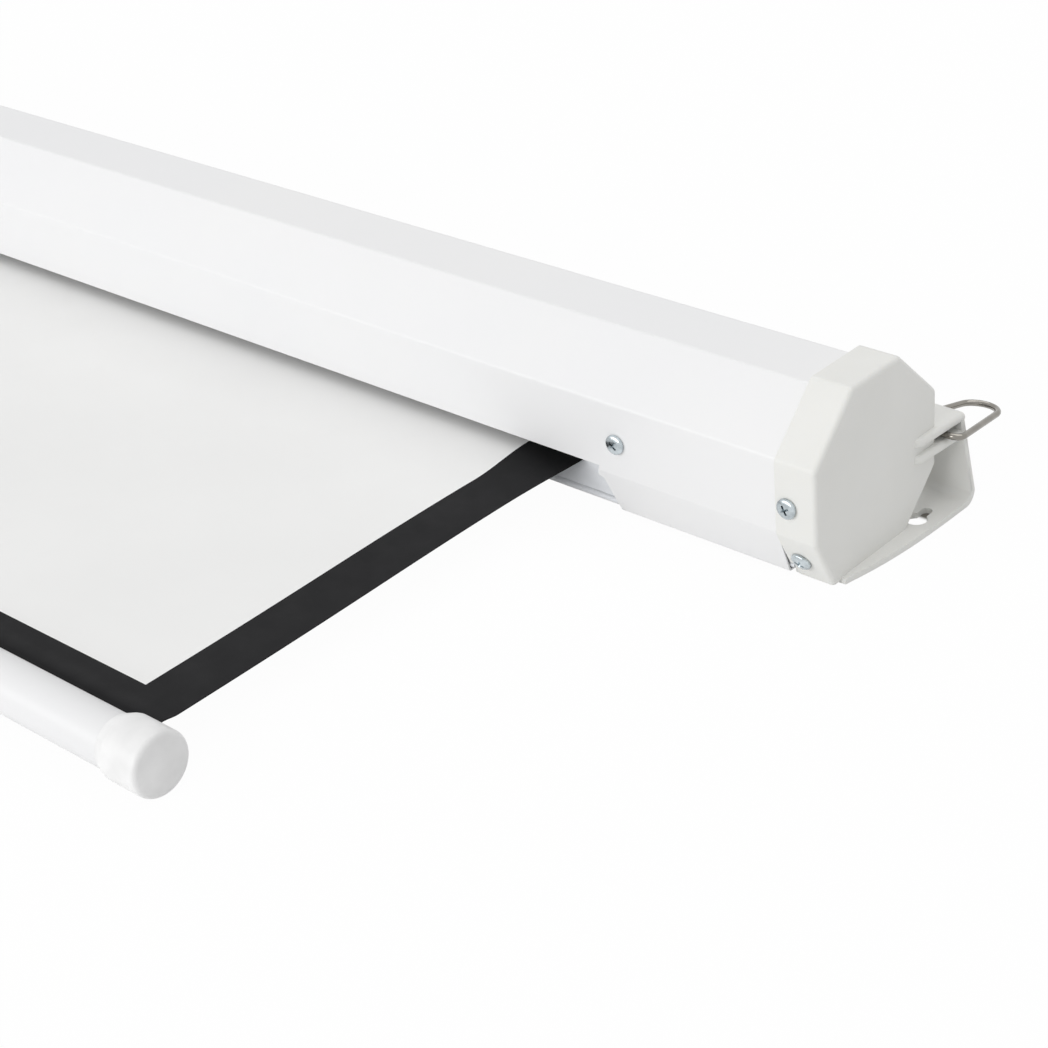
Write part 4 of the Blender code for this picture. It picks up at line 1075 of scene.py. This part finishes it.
def plate_cutters():
    """Two cutters that shape the plates' outer edges, with the top corner rounded."""
    tip = case_middle_y + PLATE_TIP
    back = case_middle_y + PLATE_BACK
    plan = []
    for step in range(PLATE_STEPS + 1):
        share = step / PLATE_STEPS
        plan.append((face_x + plate_reach(share), tip + (back - tip) * share))
    plan[0] = (plan[0][0], tip - EPS)
    plan[-1] = (plan[-1][0], back + EPS)
    far = face_x + PLATE_OUT + 2 * EPS
    plan += [(far, back + EPS), (far, tip - EPS)]
    top_x = face_x + PLATE_TOP_OUT
    bend = (top_x - PLATE_CORNER, PLATE_TOP - PLATE_CORNER)
    rise = [(face_x + PLATE_OUT, PLATE_FOLD), (far, PLATE_FOLD), (far, PLATE_TOP + EPS),
            (bend[0], PLATE_TOP + EPS)]
    rise += arc(bend, PLATE_CORNER, 90.0, PLATE_EDGE_TURN, 6)
    low = prism([plan], "XY", -EPS, PLATE_TOP + 2 * EPS)
    high = prism([rise], "XZ", back - 2 * PLATE_FOLD, back + EPS)
    return low, high


def cap_plates():
    """The wall plate and the plate behind the cup, with their curved and slanted edges."""
    plates = prism([plate_section()], "YZ", cap_mouth + PLATE_INSET, face_x + PLATE_OUT + EPS)
    return cut(plates, *plate_cutters(), cap_cavity())


print("plates", PLATE, "m thick")


# %% Ribs
def rib(height):
    """One rib, from its tip on the end face to the plate behind the cup."""
    inner_x = cap_mouth + RIB_INSET
    root = cup_corners[3][0] - CAP_WALL / 2
    plate = case_middle_y + PLATE_BACK - PLATE / 2
    tip = case_middle_y + RIB_TIP
    sunk = face_x - END_WALL / 2
    nose = (sunk, tip + RIB_TIP_OUT + face_x - sunk)
    outline = [(inner_x, root), (sunk, root), (sunk, tip)]
    outline += arc(nose, RIB_TIP_OUT + face_x - sunk, RIB_NOSE_START, 0.0, 4)
    outline += [(face_x + RIB_ROOT_OUT, plate), (inner_x, plate)]
    mesh = prism([outline], "XY", height - RIB_THICK / 2, height + RIB_THICK / 2)
    with edited(mesh) as shape:
        outer_edges = [edge for edge in shape.edges
                       if all(vert.co.x > face_x for vert in edge.verts)
                       and abs(edge.verts[0].co.z - edge.verts[1].co.z) < NEAR]
        round_over(shape, outer_edges, RIB_ROUND, CUP_STEPS)
    return mesh


print("ribs at", RIB_HEIGHTS)

# %% Openings in the caps
GLAND_SIDES = 48


def bead_notch():
    """The notch in the cap's mouth where the rail's bead comes out."""
    reach = RAIL_BEAD + 2 * GAP
    outline = [(bead[0] - 2 * reach, -EPS), (bead[0] + reach, -EPS)]
    outline += arc(bead, reach, 0.0, 90.0, 6)
    outline.append((bead[0] - 2 * reach, bead[1] + reach))
    return prism([outline], "YZ", cap_mouth - EPS, cap_mouth + NOTCH_DEPTH)


def keyhole():
    """The keyhole through the wall plate, with its narrow end up."""
    x = face_x - KEY_X
    flare = math.degrees(math.asin(KEY_NARROW / KEY_WIDE))
    outline = arc((x, case_middle_y + KEY_Y), KEY_WIDE, 90.0 + flare, 450.0 - flare, 28)
    outline += arc((x, case_middle_y + KEY_Y + KEY_TRAVEL), KEY_NARROW, 0.0, 180.0, 12)
    return prism([outline], "XY", -EPS, PLATE + EPS)


def gland_hole():
    """The hole for the mains inlet in the motor end's face."""
    low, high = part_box("cable_gland")
    middle = (low + high) / 2
    depth = 2 * EPS + END_WALL
    radius = GLAND_THREAD + GAP
    profile = [(0.0, depth), (radius, depth), (radius, 0.0), (0.0, 0.0)]
    start = (-face_x - EPS, middle.y, middle.z)
    return turned(profile, False, start, (1.0, 0.0, 0.0), GLAND_SIDES)


print("keyhole", 2 * KEY_NARROW, "m wide at its narrow end")

# %% Moulded caps
MOULD_EDGE = 0.0005

steps = [("DIFFERENCE", cap_cavity()), ("UNION", cap_plates())]
steps += [("UNION", rib(height)) for height in RIB_HEIGHTS]
steps += [("DIFFERENCE", keyhole()), ("DIFFERENCE", bead_notch())]
moulding = softened(combined(cap_cup(), steps), MOULD_EDGE)
seats = screw_seats(1)
holes = [screw_hole(*seats[kind][:2]) for kind in ("cap_screw_front", "cap_screw_facet")]
right_cap = cleaned(cut(moulding, *holes))
left_cap = cleaned(cut(mirrored(right_cap), gland_hole()))

for name, cap in (("left", left_cap), ("right", right_cap)):
    add_piece(f"moulded_cap_{name}", cap, "case", cap_plastic, [f"end_cap_{name}"])

# %% [markdown]
# ## Bails
#
# Each bail is one bent and butted nickel wire. Its straight base is trapped between the ribs and
# its narrow end hangs out past the plate. A curve with a round bevel is the natural way to make a
# wire: only its centre line has to be drawn, and the thickness is one number.

# %% Wire bails
WIRE = 0.0014
BAIL_Y = 0.0450
BAIL_Z = 0.0351
BAIL_HALF = 0.0133
BAIL_MIDDLE = 0.0053
BAIL_LENGTH = 0.0442
BAIL_TIP = 0.0086
BAIL_CORNER = 0.0042
BAIL_DROOP = math.radians(-10.2)


def bail_line():
    """The bail's centre line about its base, as (across, out) points."""
    tip_y = BAIL_LENGTH - BAIL_TIP
    lean = math.degrees(math.atan2(BAIL_HALF - BAIL_TIP, tip_y))
    points = arc((BAIL_HALF - BAIL_CORNER, BAIL_CORNER), BAIL_CORNER, -90.0, lean, 10)
    points += arc((0.0, tip_y), BAIL_TIP, lean, 180.0 - lean, 18)
    points += arc((-BAIL_HALF + BAIL_CORNER, BAIL_CORNER), BAIL_CORNER, 180.0 - lean, 270.0, 10)
    return points


for side in (-1, 1):
    turn = Matrix.Rotation(BAIL_DROOP, 3, "X")
    base = Vector((side * (face_x - BAIL_MIDDLE), case_middle_y + BAIL_Y, BAIL_Z))
    places = [base + turn @ Vector((across, out, 0.0)) for across, out in bail_line()]
    name = f"bail_{side_name(side)}"
    add_piece(f"wire_{name}", wire_mesh(places, WIRE), name, nickel_painted_dark_reflection, [name])

# %% [markdown]
# ## Bottom bar
#
# The bar is a slit tube that the cloth's end slides into, with a plastic cap at each end. The cap
# has a plug inside the tube and a sleeve over it, which meets the tube in a short cone. Tube and
# cap are both turned from a profile, and then the slit for the cloth is cut.

# %% Bar
BAR_WALL = 0.0012
BAR_SLIT = 0.0022
BAR_CAP_LENGTH = 0.0167
BAR_CONE = 0.0046
BAR_RIM = 0.0022
BAR_SIDES = 72

bar_low, bar_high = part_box("bottom_bar_tube")
bar_radius = (bar_high.z - bar_low.z) / 2
bar_y = (bar_low.y + bar_high.y) / 2
bar_z = (bar_low.z + bar_high.z) / 2
cloth_low, cloth_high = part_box("screen_cloth")
rod_low, rod_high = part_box("cloth_keeper_rod")
slit_z = rod_low.lerp(rod_high, 0.5).z
slit_low = slit_z - BAR_SLIT / 2
slit_high = slit_z + BAR_SLIT / 2


def block(low, high):
    """A box between two corners, used as a cutter."""
    outline = [(low[0], low[1]), (high[0], low[1]), (high[0], high[1]), (low[0], high[1])]
    return prism([outline], "XY", low[2], high[2])


bore = bar_radius - BAR_WALL
length = bar_high.x - bar_low.x
profile = [(bar_radius, length), (bar_radius, 0.0), (bore, 0.0), (bore, length)]
tube = turned(profile, True, (bar_low.x, bar_y, bar_z), (1.0, 0.0, 0.0), BAR_SIDES)
slit = block((bar_low.x - EPS, bar_y, slit_low), (bar_high.x + EPS, bar_high.y + EPS, slit_high))
add_piece("slit_bar", cut(tube, slit), "bottom_bar", bar_paint_painted_shade, ["bottom_bar_tube"])

# %% Bar cap's shape
BAR_SLEEVE = 0.0074
SLEEVE_LIP = 0.0004
SLEEVE_CHAMFER = 0.0006
SLEEVE_SLIT = 0.0036
CONE_SHOULDER = 0.0008
CONE_STEP = 0.0002
CAP_SPARE = 0.0003
CAP_SHIFT = 0.0003
SPIGOT_LENGTH = 0.0120

cap_box_low, cap_box_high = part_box("bar_cap_right")
cap_radius = (cap_box_high.z - cap_box_low.z) / 2 + CAP_SPARE
spigot = bore - GAP
sleeve = bar_radius + GAP / 3
cone_end = BAR_CONE - BAR_SLEEVE

cap_profile = [(0.0, BAR_CAP_LENGTH)]
cap_profile += arc((cap_radius - BAR_RIM, BAR_CAP_LENGTH - BAR_RIM), BAR_RIM, 90.0, 0.0, 8)
cap_profile += [(cap_radius, cone_end + CONE_SHOULDER), (cap_radius - CONE_STEP, cone_end),
                (sleeve + SLEEVE_LIP, SLEEVE_CHAMFER - BAR_SLEEVE),
                (sleeve + SLEEVE_LIP / 2, -BAR_SLEEVE), (sleeve, -BAR_SLEEVE), (sleeve, 0.0),
                (spigot, 0.0), (spigot, -SPIGOT_LENGTH), (0.0, -SPIGOT_LENGTH)]
print("bar cap profile has", len(cap_profile), "points")

# %% Bar caps
for side in (-1, 1):
    name = side_name(side)
    inner_x = side * (bar_high.x + GAP)
    start = (inner_x, bar_y + CAP_SHIFT, bar_z + CAP_SHIFT)
    mesh = turned(cap_profile, False, start, (side, 0.0, 0.0), BAR_SIDES)
    xs = sorted((inner_x - side * (SPIGOT_LENGTH + EPS), inner_x - side * GAP))
    groove = block((xs[0], bar_y, slit_low), (xs[1], bar_y + bore, slit_high))
    mouth = block((xs[0], bar_y + bore, slit_low),
                  (xs[1], bar_y + 2 * bar_radius, slit_low + SLEEVE_SLIT))
    add_piece(f"round_bar_cap_{name}", cut(mesh, groove, mouth), "bottom_bar",
              bar_plastic, [f"bar_cap_{name}"])

# %% [markdown]
# ## The drawn-out cloth
#
# The cloth leaves the roll at its foot, passes the slot, rises over a low crest and runs down to
# the bar. It is a grid of points in two layers, closed round the edge, and each face takes the
# finish of the white middle, the black border or the back. It has to stretch when the bar moves,
# so it rides on neither the case nor the bar.

# %% Cloth line
CLOTH_THICK = 0.0005
CREST_Z = 0.0173
CREST_Y = -0.0760
SIDE_BORDER = 0.0246
BORDER_START = -0.2490

roll_low, roll_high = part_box("cloth_roll")
line_start_z = roll_low.z - GAP - CLOTH_THICK / 2
crest_y = case_middle_y + CREST_Y
border_y = case_middle_y + BORDER_START
cloth_end_y = cloth_low.y


def cloth_rise(y):
    """The cloth's height, from under the roll over its crest to the bar."""
    if y > crest_y:
        share = (case_middle_y - y) / (case_middle_y - crest_y)
        return line_start_z + (CREST_Z - line_start_z) * (1.0 - math.cos(math.pi * share)) / 2
    share = (crest_y - y) / (crest_y - cloth_end_y)
    return CREST_Z + (slit_z - CREST_Z) * (1.0 - math.cos(math.pi * share)) / 2


print("cloth from y", round(case_middle_y, 4), "to", round(cloth_end_y, 4))

# %% Cloth bulge and ripple
RIPPLE = 0.0004
RIPPLE_LENGTH = 0.42
RIPPLE_SLANT = 5.0
BULGE = 0.0042
BULGE_EDGE = 0.030
BULGE_CLIMB = (0.004, 0.026)
BULGE_FALL = (0.032, 0.036)
CURL = 0.0010
CURL_START = 0.0140
CURL_CLIMB = 0.008
CURL_FALL = (0.009, 0.003)


def eased(distance, start, length):
    """An even climb from 0 to 1 that starts and ends level."""
    share = min(max((distance - start) / length, 0.0), 1.0)
    return share * share * (3.0 - 2.0 * share)


def lift(x, y):
    """The cloth bulges up in the slot, least at its side edges, and again just before the bar."""
    from_axis = case_middle_y - y
    inwards = eased(cloth_high.x - abs(x), 0.0, BULGE_EDGE)
    bulge = eased(from_axis, *BULGE_CLIMB) * (1.0 - eased(from_axis, *BULGE_FALL))
    to_bar = cloth_end_y + CURL_START - y
    curl = eased(to_bar, 0.0, CURL_CLIMB) * (1.0 - eased(to_bar, *CURL_FALL))
    return BULGE * inwards * bulge + CURL * curl


def ripple(x, y):
    """A slow waviness that dies out at the slot and at the bar."""
    share = (case_middle_y - y) / (case_middle_y - cloth_end_y)
    wave = math.sin(math.tau * x / RIPPLE_LENGTH + RIPPLE_SLANT * share)
    return RIPPLE * wave * math.sin(math.pi * share) ** 2


def cloth_point(x, y, raised):
    """A point of the cloth, raised or sunk from the middle of its thickness."""
    return (x, y, cloth_rise(y) + lift(x, y) + ripple(x, y) + raised)


print("bulge", BULGE, "curl", CURL, "ripple", RIPPLE)

# %% Cloth mesh
ROWS = 60
COLUMNS = 72
BORDER_COLUMNS = 6
BORDER_ROWS = 14
WHITE_FACE, BORDER_FACE, BACK_FACE = range(3)

half = cloth_high.x
white_half = half - SIDE_BORDER


def spread(low, high, count):
    """Evenly spaced places between two ends, both included."""
    return [low + (high - low) * step / count for step in range(count + 1)]


def in_border(x_low, x_high, y):
    """Whether a face lies in the printed border at the sides or before the bar."""
    return x_high <= -white_half or x_low >= white_half or y <= border_y


def sheet_mesh(xs, ys):
    """A closed sheet over a grid: white or black above, plain below."""
    mesh = bpy.data.meshes.new("sheet")
    with edited(mesh) as shape:
        over, under = [[[shape.verts.new(cloth_point(x, y, raised)) for x in xs] for y in ys]
                       for raised in (CLOTH_THICK / 2, -CLOTH_THICK / 2)]
        for row in range(len(ys) - 1):
            for column in range(len(xs) - 1):
                top = shape.faces.new((over[row][column], over[row + 1][column],
                                       over[row + 1][column + 1], over[row][column + 1]))
                dark = in_border(xs[column], xs[column + 1], ys[row])
                top.material_index = BORDER_FACE if dark else WHITE_FACE
                back = shape.faces.new((under[row][column], under[row][column + 1],
                                        under[row + 1][column + 1], under[row + 1][column]))
                back.material_index = BACK_FACE
        rims = [([line[0] for line in over], [line[0] for line in under]),
                ([line[-1] for line in over], [line[-1] for line in under]),
                (over[0], under[0]), (over[-1], under[-1])]
        for top_rim, low_rim in rims:
            for index in range(len(top_rim) - 1):
                edge = shape.faces.new((top_rim[index], top_rim[index + 1],
                                        low_rim[index + 1], low_rim[index]))
                edge.material_index = BORDER_FACE
        bmesh.ops.recalc_face_normals(shape, faces=shape.faces)
        for face in shape.faces:
            face.smooth = True
    return mesh


border = spread(white_half, half, BORDER_COLUMNS)[1:]
columns = [-x for x in reversed(border)] + spread(-white_half, white_half, COLUMNS) + border
rows = spread(case_middle_y, border_y, ROWS) + spread(border_y, cloth_end_y, BORDER_ROWS)[1:]
mesh = sheet_mesh(columns, rows)
print("cloth grid", len(columns), "by", len(rows))

# %% Drawn cloth
CLOTH_SHARP = math.radians(50.0)


for material in (cloth_white, cloth_black, cloth_back):
    mesh.materials.append(material)
mesh.set_sharp_from_angle(angle=CLOTH_SHARP)
cloth = new_object("drawn_cloth", mesh)
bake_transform(cloth)
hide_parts("screen_cloth")

# %% [markdown]
# ## The wound cloth
#
# What isn't drawn out stays wound on the tube, in turns about as thick as the cloth. Seen from
# the end the winding is a spiral, so it is made as one: a thin strip that climbs by a little more
# than its own thickness each time round.

# %% Winding
TURN_STEPS = 40
WOUND_THICK = 0.00042
WOUND_PITCH = 0.00052

tube_radius = (tube_high.z - tube_low.z) / 2
roll_radius = (roll_high.z - roll_low.z) / 2


def spiral(raised):
    """The strip's points from the tube out to the roll's foot, as (y, z)."""
    turns = (roll_radius - tube_radius - GAP - WOUND_THICK) / WOUND_PITCH
    count = int(turns * TURN_STEPS)
    points = []
    for step in range(count + 1):
        angle = -math.pi / 2 - math.tau * (turns - step / TURN_STEPS)
        radius = tube_radius + GAP + WOUND_PITCH * step / TURN_STEPS + raised
        points.append((case_middle_y + radius * math.cos(angle), roller_z + radius * math.sin(angle)))
    return points


strip = spiral(0.0) + list(reversed(spiral(WOUND_THICK)))
winding = prism([strip], "YZ", -half, half)
roll = add_piece("wound_cloth", winding, "roller", cloth_back, ["cloth_roll"])

# %% [markdown]
# ## Pieces inside the case
#
# The brackets, the idler, the motor and the receiver are out of sight in the closed case, but a
# look along the slot or with a cap off would show them. Their modelled shapes are right as they
# are, so each only gets the finish of its real material.

# %% Finishes of the inner pieces
inner_finishes = {
    zinc_steel: ["idler_bracket", "motor_bracket", "idler_pin_nut",
                 "motor_screw_front", "motor_screw_back"],
    tube_aluminium: ["roller_tube"],
    turned_steel: ["idler_pin", "motor_shaft", "motor_housing"],
    bush_bronze: ["idler_bush"],
    black_plastic: ["motor_head", "control_box", "control_lid"],
    grey_plastic: ["idler_plug", "limit_ring", "drive_wheel", "cloth_keeper_rod",
                   "cable_gland", "gland_nut"],
    relay_blue: ["relay"],
    terminal_green: ["terminal_block"],
    board_green: ["control_board"],
    dial_red: ["limit_screw_up"],
    dial_white: ["limit_screw_down"],
    lead_sheath: ["motor_lead", "mains_lead"],
}
for material, nodes in inner_finishes.items():
    for node in nodes:
        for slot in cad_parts[node].material_slots:
            slot.material = material
print("inner pieces finished:", sum(len(nodes) for nodes in inner_finishes.values()))
